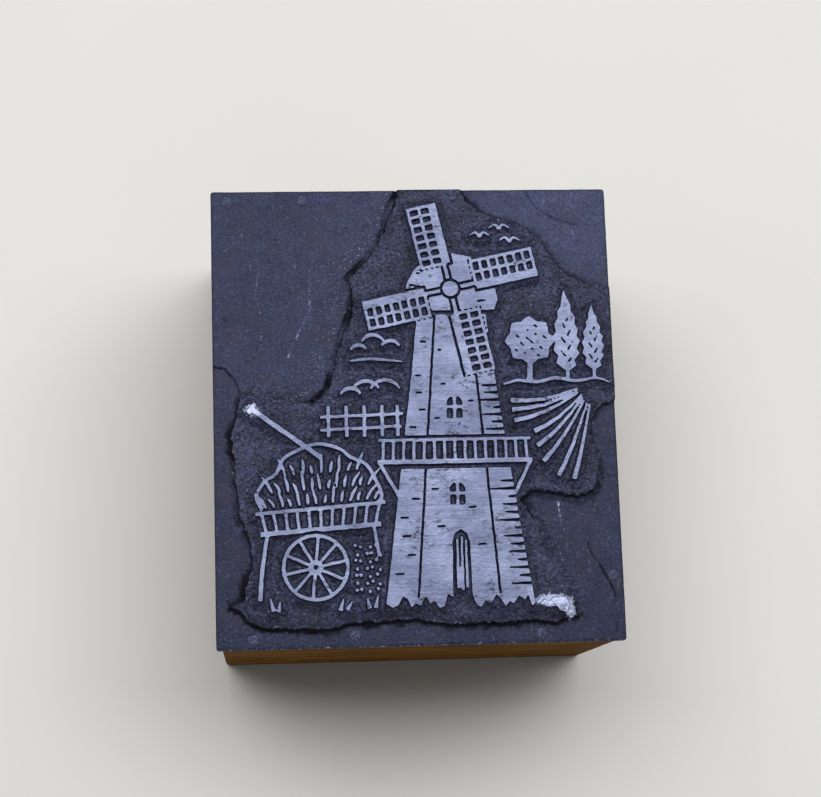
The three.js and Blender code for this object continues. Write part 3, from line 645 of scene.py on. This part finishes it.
def plate_walls(border):
    """Rings of points down the plate's walls, below the border of its upper side."""
    core_x, core_y, out_x, out_y, _ = corner_frame(border[:, 0], border[:, 1])
    chipped = 0.5 + 0.5 * layered_noise(core_x + out_x, core_y + out_y, *EDGE_NOISE)
    top = border[:, 2] - BEVEL_DROP * (0.6 + 0.8 * chipped)
    rings = []
    for row in range(WALL_ROWS + 1):
        share = row / WALL_ROWS
        reach = CORNER_RADIUS - (TOP_INSET * chipped * (1 - share) + BOTTOM_INSET * share)
        z = top + (PLATE_LOW[2] - top) * share
        rings.append(np.stack([core_x + out_x * reach, core_y + out_y * reach, z], 1))
    return rings


def make_plate():
    top = PlateTop(Relief())
    faces, used = grid_faces(top.height.reshape(top.shape), top.detail.reshape(top.shape))
    loop = border_loop(used)
    points = np.stack([top.x, top.y, top.height], 1)
    border = points[loop]
    walls = plate_walls(border)
    rings = [loop] + [np.arange(len(loop)) + used.size + len(loop) * row for row in range(len(walls))]
    for upper, lower in zip(rings, rings[1:]):
        faces += strip(upper, lower)
    faces.append(rings[-1][::-1].tolist())
    points = np.concatenate([points, *walls])

    in_walls = len(points) - used.size
    kept = np.concatenate([used.ravel(), np.ones(in_walls, bool)])
    number = np.cumsum(kept) - 1
    faces = [[int(number[vertex]) for vertex in face] for face in faces]
    upper_edge = slice(used.sum(), used.sum() + len(loop))
    behind = border[:, 1] > PLATE_LOW[1] + FRONT_REACH
    fields = {}
    for name, field in top.fields().items():
        fields[name] = np.concatenate([field, np.full(in_walls, WALL_FIELDS[name])])[kept]
    for name, (front, back) in EDGE_FIELDS.items():
        fields[name][upper_edge] = np.where(behind, back, front)
    return mesh_object("plate", points[kept], faces, fields)


# Wood base: rings of points up the wall, with rounded and worn edges.
BASE_RADIUS = 0.4
BASE_STEP = 0.35
BASE_EDGE = 0.25
CORNER_STEPS = 5
EDGE_BENDS = (0, 30, 60)
# How far the wood lies inside the CAD base, and the height of its ridges, fibres, end grain and dents.
BASE_INSET = 0.03
RIDGE_HEIGHT = 0.014
FIBRE_HEIGHT = 0.014
END_HEIGHT = 0.016
DENT_DEPTH = 0.25
DENT_START = 0.35
# Dents lie near the edges: how fast they fade with height, and their share at the corners.
EDGE_FADE = 0.5
CORNER_SHARE = 0.6
# Noise over the wood, as for the plate.
WOOD_NOISES = {
    "bend": (6, 71, 1),
    "ridge": (0.34, 73, 1),
    "fibre": (0.5, 79, 2),
    "end": (0.7, 83, 3),
    "dent": (2.4, 89, 3),
}


def outline_of_base():
    """Points round the base's outline, counterclockwise from above, with their way out."""
    half = (BASE_HIGH - BASE_LOW)[:2] / 2 - BASE_RADIUS
    middle = (BASE_HIGH + BASE_LOW)[:2] / 2
    arc = [math.radians(90 * n / CORNER_STEPS) for n in range(CORNER_STEPS + 1)]
    places, ways = [], []
    for turn, (sx, sy) in enumerate(((1, -1), (1, 1), (-1, 1), (-1, -1))):
        centre = middle + half * (sx, sy)
        for angle in arc:
            heading = angle + turn * math.pi / 2
            way = np.array([math.sin(heading), -math.cos(heading)])
            places.append(centre + way * BASE_RADIUS)
            ways.append(way)
        run = 2 * half[(turn + 1) % 2]
        ahead = np.array([-way[1], way[0]])
        steps = round(run / BASE_STEP)
        for share in np.arange(1, steps) / steps:
            places.append(centre + way * BASE_RADIUS + ahead * run * share)
            ways.append(way)
    return np.array(places), np.array(ways)


def base_levels(tall):
    """Inset and height of each ring of the base, with rounded edges below and above."""
    bends = [math.radians(angle) for angle in EDGE_BENDS]
    lower = [(BASE_EDGE * (1 - math.sin(t)), BASE_EDGE * (1 - math.cos(t))) for t in bends]
    upper = [(inset, tall - z) for inset, z in lower[::-1]]
    heights = np.linspace(BASE_EDGE, tall - BASE_EDGE, round(tall / BASE_STEP))
    return lower + [(0, z) for z in heights] + upper


def wood_relief(places, ways, z, near_edge):
    """How far the wood lies inside the CAD base at one height, with its grain and dents."""
    around = np.concatenate([[0], np.cumsum(np.linalg.norm(np.diff(places, axis=0), axis=1))])
    z = np.full(len(places), z)
    bent = z + 0.1 * layered_noise(places[:, 0], z, *WOOD_NOISES["bend"])
    ridge = layered_noise(bent, z * 0, *WOOD_NOISES["ridge"])
    fibre = layered_noise(places[:, 0] / 7, z, *WOOD_NOISES["fibre"])
    end_grain = layered_noise(places[:, 1], z, *WOOD_NOISES["end"])
    dent = np.clip(layered_noise(around, z, *WOOD_NOISES["dent"]) - DENT_START, 0, 1)
    long_side = np.abs(ways[:, 1]) ** 2
    grain = long_side * (RIDGE_HEIGHT * ridge + FIBRE_HEIGHT * fibre)
    grain = BASE_INSET + grain + (1 - long_side) * END_HEIGHT * end_grain
    return np.maximum(0, grain) + DENT_DEPTH * dent * near_edge


def make_base():
    places, ways = outline_of_base()
    tall = BASE_HIGH[2] - BASE_LOW[2]
    levels = base_levels(tall)
    at_corner = np.abs(ways[:, 0] * ways[:, 1]) > 0.05
    points, edges = [], []
    for inset, z in levels:
        near_edge = np.exp(-min(z, tall - z) / EDGE_FADE) + CORNER_SHARE * at_corner
        near_edge = np.clip(near_edge, 0, 1)
        sink = wood_relief(places, ways, z, near_edge)
        ring = places - ways * (inset + sink)[:, None]
        points.append(np.column_stack([ring, np.full(len(places), z)]))
        edges.append(near_edge)
    faces = stacked_rings(len(places), len(levels))
    return mesh_object("base", np.concatenate(points), faces, {"edge": np.concatenate(edges)})


# Brads, as rings of points: radii with heights above the tip, then shares of the shank's and of the
# head's radius with heights above the head's seat.
BRAD_SIDES = 40
TIP_OUTLINE = ((0.03, 0), (0.12, 0.3 * POINT_LENGTH), (SHANK_RADIUS, POINT_LENGTH))
NECK_OUTLINE = ((1, -0.35), (1.06, -0.3), (1, -0.25), (1, -0.05), (1.3, 0))
HEAD_OUTLINE = (
    (0.93, 0), (0.99, 0.06), (0.99, 0.14), (0.96, 0.18), (0.9, 0.198), (0.76, 0.21), (0.58, 0.22),
    (0.38, 0.226), (0.18, 0.228),
)
HEAD_LEAN = 0.03
HEAD_DENTS = 0.025
HEAD_UNEVEN = 0.07
FIRST_BRAD_SEED = 100
BRAD_SEED_STEP = 10


def make_brad(name, seed):
    low, high = box_mm(name)
    centre = (low + high)[:2] / 2
    seat = high[2] - HEAD_HEIGHT
    lean = np.random.default_rng(seed).uniform(-HEAD_LEAN, HEAD_LEAN, 2)
    angles = np.arange(BRAD_SIDES) / BRAD_SIDES * 2 * math.pi
    outline = [(radius, low[2] + z) for radius, z in TIP_OUTLINE]
    outline += [(SHANK_RADIUS * share, seat + z) for share, z in NECK_OUTLINE]
    outline += [(HEAD_RADIUS * share, seat + z) for share, z in HEAD_OUTLINE]
    bulges = lattice_noise(3 * np.cos(angles), 3 * np.sin(angles), 1.6, seed + 1)
    points = []
    for radius, z in outline:
        in_head = rise(z, seat + 0.05, seat + 0.2)
        uneven = 1 + in_head * HEAD_UNEVEN * bulges
        x, y = radius * uneven * np.cos(angles), radius * uneven * np.sin(angles)
        reach = np.minimum(1, HEAD_RADIUS / np.maximum(np.hypot(x, y), 1e-6))
        dents = HEAD_DENTS * layered_noise(x + 5, y + 5, 0.26, seed + 2, 3) + lean[0] * x + lean[1] * y
        ring = [x * reach + centre[0], y * reach + centre[1], z + in_head * dents]
        points.append(np.column_stack(ring))
    faces = stacked_rings(BRAD_SIDES, len(outline))
    return mesh_object(name.replace("brad", "pin"), np.concatenate(points), faces)


class Shader:
    """A material's node tree, with short calls for the nodes used here."""

    def __init__(self, name, gloss):
        self.material = bpy.data.materials.new(name)
        self.material.use_nodes = True
        self.tree = self.material.node_tree
        self.main = self.tree.nodes["Principled BSDF"]
        self.feed(self.main, {"Specular IOR Level": gloss})
        coordinates = self.node("ShaderNodeTexCoord", {})
        self.place, self.normal = coordinates.outputs["Object"], coordinates.outputs["Normal"]

    def feed(self, node, inputs):
        """Gives inputs of a node their links or values."""
        for name, value in inputs.items():
            if isinstance(value, bpy.types.NodeSocket):
                self.tree.links.new(value, node.inputs[name])
            else:
                node.inputs[name].default_value = value

    def node(self, kind, inputs, **settings):
        made = self.tree.nodes.new(kind)
        for name, value in settings.items():
            setattr(made, name, value)
        self.feed(made, inputs)
        return made

    def math(self, operation, first, second=0.0):
        return self.node("ShaderNodeMath", {0: first, 1: second}, operation=operation).outputs[0]

    def times(self, first, second):
        return self.math("MULTIPLY", first, second)

    def plus(self, first, second):
        return self.math("ADD", first, second)

    def fit(self, value, span, onto=(0, 1)):
        """Maps one span of values onto another, and holds the result inside it."""
        ends = dict(zip(("From Min", "From Max", "To Min", "To Max"), (*span, *onto)))
        return self.node("ShaderNodeMapRange", {"Value": value, **ends}).outputs["Result"]

    def mix(self, share, first, second):
        """From the first colour to the second as the share goes from 0 to 1."""
        return self.node("ShaderNodeMix", {0: share, 6: first, 7: second}, data_type="RGBA").outputs[2]

    def shade(self, color, factor):
        """A colour made lighter or darker."""
        inputs = {0: color, "Scale": factor}
        return self.node("ShaderNodeVectorMath", inputs, operation="SCALE").outputs[0]

    def along(self, value, axis):
        """The part of a place or a way along one axis."""
        return self.node("ShaderNodeSeparateXYZ", {0: value}).outputs[axis]

    def place_mm(self, axis):
        """Distance from the origin along one axis, in millimetres."""
        return self.times(self.along(self.place, axis), 1 / MM)

    def noise(self, size, long_x=1, long_y=1, detail=2, shift=(0, 0, 0)):
        """Noise from about 0.2 to 0.8, with bumps about size millimetres wide and longer along X or Y."""
        scale = [1 / (size * MM * long) for long in (long_x, long_y, 1)]
        place = self.node("ShaderNodeMapping", {"Vector": self.place, "Scale": scale, "Location": shift})
        inputs = {"Vector": place.outputs[0], "Scale": 1, "Detail": detail}
        return self.node("ShaderNodeTexNoise", inputs).outputs["Fac"]

    def cloud(self, size, span, onto=(0, 1), **kind):
        """Noise with one span of its values mapped onto another."""
        return self.fit(self.noise(size, **kind), span, onto)

    def field(self, name):
        """A value that the mesh carries at its points."""
        return self.node("ShaderNodeAttribute", {}, attribute_name=name).outputs["Fac"]

    def bump(self, value, depth, **under):
        """A normal with bumps of this depth in millimetres, on top of another if there is one."""
        inputs = {"Height": value, "Distance": depth * MM, **under}
        return self.node("ShaderNodeBump", inputs).outputs[0]

    def finish(self, color, roughness, normal, metallic):
        inputs = {"Base Color": color, "Roughness": roughness, "Metallic": metallic, "Normal": normal}
        self.feed(self.main, inputs)
        return self.material


def rgb(red, green, blue):
    """A linear colour from screen values of 0 to 255."""
    def linear(value):
        share = value / 255
        return share / 12.92 if share <= 0.04045 else ((share + 0.055) / 1.055) ** 2.4
    return (linear(red), linear(green), linear(blue), 1.0)


# Spans that hold most of a noise, and nearly all of it.
MOST = (0.35, 0.65)
NEARLY_ALL = (0.3, 0.7)

# Inked metal shines little and is only partly bare.
METAL_GLOSS = 0.12
METAL_SHARE = 0.35
METAL_ROUGHNESS = (0.42, 0.6)

# Colours of the zinc: on the printing face, the routed floors, the etched island with painted shade in
# its hollows, and where it is worn, with painted glints and ink with painted shade.
FACE_DIM, FACE_BRIGHT = rgb(103, 110, 139), rgb(128, 136, 165)
FACE_INK, FACE_BLOT = rgb(50, 52, 66), rgb(40, 42, 54)
ROUTED_DARK, ROUTED_LIGHT = rgb(31, 35, 53), rgb(52, 57, 82)
ROUTED_SPECK, ROUTED_STAIN, ROUTED_TICK = rgb(16, 17, 25), rgb(50, 43, 54), rgb(100, 106, 128)
ETCHED_DARK, ETCHED_LIGHT = rgb(14, 15, 24), rgb(58, 62, 88)
ETCHED_RUST, ETCHED_HOLLOW_SHADE = rgb(50, 44, 46), rgb(9, 10, 16)
GLINT, INK_AND_SHADE_COLOR = rgb(108, 113, 136), rgb(9, 9, 13)
WORN_DIM, WORN_BRIGHT = rgb(142, 150, 180), rgb(186, 194, 220)


def face_metal(s, streaks):
    """Light brushed metal of the printing face, with dashes, blots and smudges of ink."""
    color = s.mix(s.cloud(3.2, MOST, detail=3), FACE_DIM, FACE_BRIGHT)
    color = s.shade(color, s.fit(streaks, NEARLY_ALL, (0.86, 1.12)))
    color = s.shade(color, s.cloud(0.3, MOST, (0.96, 1.03), long_x=24, shift=(1, 9, 3)))
    crowds = s.cloud(2.2, (0.42, 0.6), long_x=1.4, detail=3, shift=(3, 1, 0))
    dashes = s.cloud(0.13, (0.61, 0.68), long_x=7, shift=(5, 3, 8))
    color = s.mix(s.times(dashes, s.fit(crowds, (0, 1), (0.08, 0.7))), color, FACE_INK)
    blots = s.times(s.cloud(0.4, (0.58, 0.64), long_x=1.4, detail=5), crowds)
    color = s.mix(s.times(blots, 0.8), color, FACE_BLOT)
    smudges = s.cloud(0.9, (0.5, 0.68), long_x=1.3, detail=5, shift=(8, 1, 5))
    smudges = s.times(smudges, s.fit(crowds, (0, 1), (0.3, 1)))
    smudges = s.times(smudges, s.cloud(0.16, (0.38, 0.6), (0.15, 0.75), detail=3, shift=(4, 4, 9)))
    return s.mix(smudges, color, FACE_INK)


def routed_metal(s, grain, tone, wear_and_highlight):
    """Dark mottled floors with specks, stains and bright ticks."""
    color = s.mix(s.fit(tone, (0.25, 0.95)), ROUTED_DARK, ROUTED_LIGHT)
    color = s.shade(color, s.cloud(1.3, MOST, (0.86, 1.12), detail=4))
    color = s.shade(color, s.cloud(0.16, MOST, (0.95, 1.05), long_y=20, detail=3, shift=(8, 8, 2)))
    color = s.shade(color, s.fit(grain, MOST, (0.7, 1.28)))
    color = s.shade(color, s.cloud(0.11, MOST, (0.62, 1.4), shift=(2, 9, 4)))
    specks = s.cloud(0.14, (0.6, 0.68), shift=(1, 1, 7))
    specks = s.times(specks, s.cloud(2.6, (0.46, 0.62), (0.1, 0.8)))
    color = s.mix(specks, color, ROUTED_SPECK)
    stains = s.cloud(1.9, (0.48, 0.68), detail=3, shift=(5, 1, 2))
    color = s.mix(s.times(stains, 0.35), color, ROUTED_STAIN)
    # Lighter where worn, and where the painted highlight runs along the lip.
    color = s.shade(color, s.fit(wear_and_highlight, (0, 0.3), (1, 1.5)))
    ticks = s.cloud(0.13, (0.68, 0.76), long_x=1.6, long_y=5, shift=(3, 5, 7))
    return s.mix(s.times(ticks, 0.4), color, ROUTED_TICK)


def etched_metal(s, grain):
    """The etched island: coarse dark grain with patches, a little rust and black spots of painted shade
    in hollows.
    """
    color = s.mix(s.fit(grain, (0.34, 0.66)), ETCHED_DARK, ETCHED_LIGHT)
    color = s.shade(color, s.cloud(0.8, MOST, (0.78, 1.2), long_x=1.6, detail=3, shift=(6, 2, 1)))
    color = s.shade(color, s.cloud(2.4, (0.38, 0.62), (0.74, 1.12), detail=3, shift=(3, 6, 3)))
    rust = s.cloud(0.4, (0.56, 0.66), shift=(4, 9, 9))
    color = s.mix(s.times(rust, 0.35), color, ETCHED_RUST)
    # Painted shade: black spots standing for shadowed hollows.
    hollow_shade = s.cloud(0.34, (0.44, 0.36), detail=4, shift=(9, 5, 1))
    hollow_shade = s.times(hollow_shade, s.cloud(1.7, (0.4, 0.6), (0.25, 0.85), shift=(1, 5, 5)))
    return s.shade(s.mix(hollow_shade, color, ETCHED_HOLLOW_SHADE), 1.08)


def worn_share(s, wear_and_highlight):
    """Where bare metal or the painted lip highlight shows: in speckles where there is some, and all over
    where there is much.
    """
    speckle = s.times(s.noise(0.2, detail=5, shift=(1, 8, 2)), 2.4)
    some = s.times(s.fit(s.plus(wear_and_highlight, speckle), (1.5, 2.1)), s.fit(wear_and_highlight, (0.02, 0.2)))
    return s.math("MAXIMUM", some, s.fit(wear_and_highlight, (0.5, 0.85), (0, 0.9)))


def zinc_material():
    """Inked zinc: a light printing face above dark floors, with painted glints, ink with painted shade, a
    painted highlight on the lip and worn places.
    """
    s = Shader("inked_zinc", METAL_GLOSS)
    rough, tone, wear_and_highlight, ink_and_shade, glint_density = map(s.field, ("rough", "tone", "wear_and_highlight", "ink_and_shade", "glint_density"))
    streaks = s.noise(0.13, long_x=40, detail=4)
    grain = s.noise(0.2, long_x=1.25, detail=4)
    color = s.mix(rough, routed_metal(s, grain, tone, wear_and_highlight), etched_metal(s, grain))
    # Painted glints: bright specks standing for light glinting off the grainy metal.
    fine_glints = s.cloud(0.17, (0.61, 0.72), shift=(7, 2, 4))
    large_glints = s.cloud(0.4, (0.71, 0.76), shift=(2, 2, 6))
    color = s.mix(s.times(s.math("MAXIMUM", fine_glints, large_glints), glint_density), color, GLINT)
    # Ink, with painted shade at the foot of the walls, in the groove and along the lip.
    color = s.mix(s.times(ink_and_shade, 0.9), color, INK_AND_SHADE_COLOR)
    face = s.fit(s.place_mm("Z"), (FACE - 0.035, FACE - 0.012))
    color = s.mix(face, color, face_metal(s, streaks))
    bare = s.mix(s.fit(grain, MOST), WORN_DIM, WORN_BRIGHT)
    color = s.mix(worn_share(s, wear_and_highlight), color, bare)

    roughness = s.plus(s.fit(grain, NEARLY_ALL, METAL_ROUGHNESS), s.times(face, -0.06))
    roughness = s.plus(roughness, s.times(ink_and_shade, 0.3))
    normal = s.bump(grain, 0.04)
    normal = s.bump(s.times(streaks, face), 0.012, Normal=normal)
    return s.finish(color, roughness, normal, METAL_SHARE)


# Growth rings round the tree's middle, in front of the block's middle and below its underside.
TREE_FORWARD = 31
TREE_BELOW = 24
RING_WIDTH = 1.5
EARLY_WOOD, LATE_WOOD = rgb(136, 95, 37), rgb(82, 51, 17)
END_WOOD, AGED_WOOD, RUBBED_WOOD = rgb(104, 73, 34), rgb(106, 72, 28), rgb(70, 48, 26)
WOOD_STREAK, WOOD_PORE, WOOD_INK_AND_SHADOW = rgb(46, 29, 12), rgb(44, 30, 18), rgb(34, 29, 28)


def growth_rings(s):
    """How much of the wood is late wood, in wavering rings round the tree's middle."""
    side, up = s.plus(s.place_mm("Y"), TREE_FORWARD), s.plus(s.place_mm("Z"), TREE_BELOW)
    radius = s.math("SQRT", s.plus(s.times(side, side), s.times(up, up)))
    radius = s.plus(radius, s.times(s.noise(9, long_x=5), 6))
    radius = s.plus(radius, s.times(s.noise(1.2, long_x=14, detail=3, shift=(4, 4, 4)), 0.5))
    radius = s.plus(radius, s.times(s.math("SINE", s.times(radius, 0.7)), 0.6))
    ring = s.math("FRACT", s.math("DIVIDE", radius, RING_WIDTH))
    return s.times(s.fit(ring, (0.3, 0.9)), s.fit(ring, (0.9, 1), (1, 0)))


def stained_and_shaded_wood(s, color):
    """Wood with ink and a painted shadow at its top edge under the plate, ink in spots, and darker where
    its edges are rubbed.
    """
    # Painted shadow, with ink, along the top edge under the plate's overhang.
    edge = s.plus(s.place_mm("Z"), s.times(s.noise(2.4, detail=4), 5))
    edge = s.fit(edge, (22.6, 24.2))
    spots = s.times(s.cloud(2.3, (0.66, 0.71), detail=4, shift=(2, 6, 9)), 0.6)
    color = s.mix(s.times(s.math("MAXIMUM", edge, spots), 0.8), color, WOOD_INK_AND_SHADOW)
    rubbed = s.times(s.field("edge"), s.cloud(0.8, (0.4, 0.62), detail=3, shift=(5, 5, 5)))
    return s.mix(s.times(rubbed, 0.6), color, RUBBED_WOOD)


def wood_material():
    """Aged hardwood with its grain along X, ink and a painted shadow at the top edge, and rubbed corners.
    """
    s = Shader("aged_wood", gloss=0.03)
    late = growth_rings(s)
    # The block's ends lie left and right.
    end = s.fit(s.math("ABSOLUTE", s.along(s.normal, "X")), (0.5, 0.85))
    fibre = s.noise(0.13, long_x=40, detail=3)
    streaks = s.cloud(0.3, (0.53, 0.66), long_x=30, detail=3, shift=(2, 7, 5))
    pores = s.cloud(0.12, (0.6, 0.68), long_x=16, detail=1, shift=(9, 9, 2))
    bands = s.cloud(2, (0.34, 0.66), (0.68, 1.28), long_x=4.5, detail=3, shift=(7, 3, 3))
    color = s.mix(late, EARLY_WOOD, LATE_WOOD)
    color = s.mix(s.times(end, 0.55), color, END_WOOD)
    color = s.mix(s.cloud(7, NEARLY_ALL, (0, 0.5), long_x=2, detail=3), color, AGED_WOOD)
    color = s.shade(color, s.fit(fibre, NEARLY_ALL, (0.5, 1.3)))
    color = s.mix(s.times(end, 0.85), s.shade(color, bands), color)
    color = s.mix(s.times(streaks, s.fit(end, (0, 1), (0.75, 0.25))), color, WOOD_STREAK)
    color = s.mix(s.times(pores, 0.6), color, WOOD_PORE)
    color = stained_and_shaded_wood(s, color)
    normal = s.bump(s.math("SUBTRACT", fibre, s.times(pores, 1.2)), 0.05)
    normal = s.bump(late, 0.012, Normal=normal)
    return s.finish(color, s.fit(fibre, NEARLY_ALL, (0.7, 0.88)), normal, metallic=0)


STEEL_DARK, STEEL_LIGHT, STEEL_FLECK = rgb(30, 34, 50), rgb(56, 61, 86), rgb(104, 110, 136)


def brad_material():
    """Steel under a skin of ink, with bright flecks."""
    s = Shader("inked_steel", METAL_GLOSS)
    grain = s.noise(0.12, detail=3)
    bare = s.cloud(0.09, (0.56, 0.66), detail=1, shift=(6, 3, 1))
    color = s.mix(s.fit(grain, MOST), STEEL_DARK, STEEL_LIGHT)
    color = s.mix(s.times(bare, 0.75), color, STEEL_FLECK)
    return s.finish(color, s.fit(grain, NEARLY_ALL, METAL_ROUGHNESS), s.bump(grain, 0.02), METAL_SHARE)


FLOOR_REACH = 700
FLOOR_DIM, FLOOR_BRIGHT = rgb(224, 223, 220), rgb(228, 227, 224)


def make_floor():
    """A pale floor under the block, in a wide room."""
    corners = [(FLOOR_REACH * x, FLOOR_REACH * y, 0) for x, y in ((-1, -1), (1, -1), (1, 1), (-1, 1))]
    floor = mesh_object("floor", corners, [(0, 1, 2, 3)])
    s = Shader("pale_floor", gloss=0.5)
    tint = s.mix(s.cloud(40, NEARLY_ALL), FLOOR_DIM, FLOOR_BRIGHT)
    floor.data.materials.append(s.finish(tint, 0.8, s.bump(s.noise(0.5), 0.01), metallic=0))


# Light, in metres and watts, and the strength of the room where the camera doesn't see it.
KEY_PLACE = (0.02, 0.22, 0.58)
KEY_AIM = (0, 0, 0.02)
KEY_SIZE = (1.0, 0.38)
KEY_POWER = 5.12
ROOM_LIGHT = 0.11


def make_lamp():
    """A wide soft lamp above the top of the picture."""
    lamp = bpy.data.lights.new("key", "AREA")
    lamp.shape = "RECTANGLE"
    lamp.size, lamp.size_y = KEY_SIZE
    lamp.energy = KEY_POWER
    key = new_object("key", lamp)
    key.location = KEY_PLACE
    key.rotation_euler = (Vector(KEY_AIM) - key.location).to_track_quat("-Z", "Y").to_euler()


def make_room():
    """A room that lights the block weakly and evenly, and looks white, also where it is mirrored."""
    world = bpy.data.worlds.new("room")
    world.use_nodes = True
    nodes, links = world.node_tree.nodes, world.node_tree.links
    path = nodes.new("ShaderNodeLightPath")
    seen = path.outputs["Is Camera Ray"]
    for kind in ("Is Glossy Ray", "Is Transmission Ray"):
        either = nodes.new("ShaderNodeMath")
        either.operation = "MAXIMUM"
        links.new(seen, either.inputs[0])
        links.new(path.outputs[kind], either.inputs[1])
        seen = either.outputs[0]
    strength = nodes.new("ShaderNodeMapRange")
    strength.inputs["To Min"].default_value = ROOM_LIGHT
    strength.inputs["To Max"].default_value = 1.0
    links.new(seen, strength.inputs["Value"])
    links.new(strength.outputs["Result"], nodes["Background"].inputs["Strength"])
    nodes["Background"].inputs["Color"].default_value = (1, 1, 1, 1)
    bpy.context.scene.world = world


# The camera, fitted to the plate's corners and the base's visible edge in the photograph.
CAMERA_PLACE = (-12.82, -27.8, 172.69)
CAMERA_FORWARD = (0.081, 0.1887, -0.9787)
CAMERA_UP = (0.0165, 0.9815, 0.1906)
FOCAL_PIXELS = 1949.3
IMAGE_WIDTH = 821
SENSOR = 36.0


def make_camera():
    data = bpy.data.cameras.new("camera")
    data.sensor_width = SENSOR
    data.lens = SENSOR * FOCAL_PIXELS / IMAGE_WIDTH
    data.clip_start = 10 * MM
    camera = new_object("camera", data)
    forward = Vector(CAMERA_FORWARD).normalized()
    right = forward.cross(Vector(CAMERA_UP)).normalized()
    up = right.cross(forward)
    turn = Matrix((right, up, -forward)).transposed()
    camera.matrix_world = Matrix.Translation(Vector(CAMERA_PLACE) * MM) @ turn.to_4x4()
    bpy.context.scene.camera = camera


def dress(piece, material, node):
    """Gives a piece its material and puts it in the place of its CAD node."""
    piece.data.materials.append(material)
    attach(piece, "root")
    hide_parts(node)


make_camera()
make_lamp()
make_room()
make_floor()
dress(make_plate(), zinc_material(), "printing_plate")
dress(make_base(), wood_material(), "wood_base")
steel = brad_material()
for order, brad in enumerate(BRADS):
    dress(make_brad(brad, FIRST_BRAD_SEED + BRAD_SEED_STEP * order), steel, brad)

bpy.context.scene.view_settings.view_transform = "Standard"
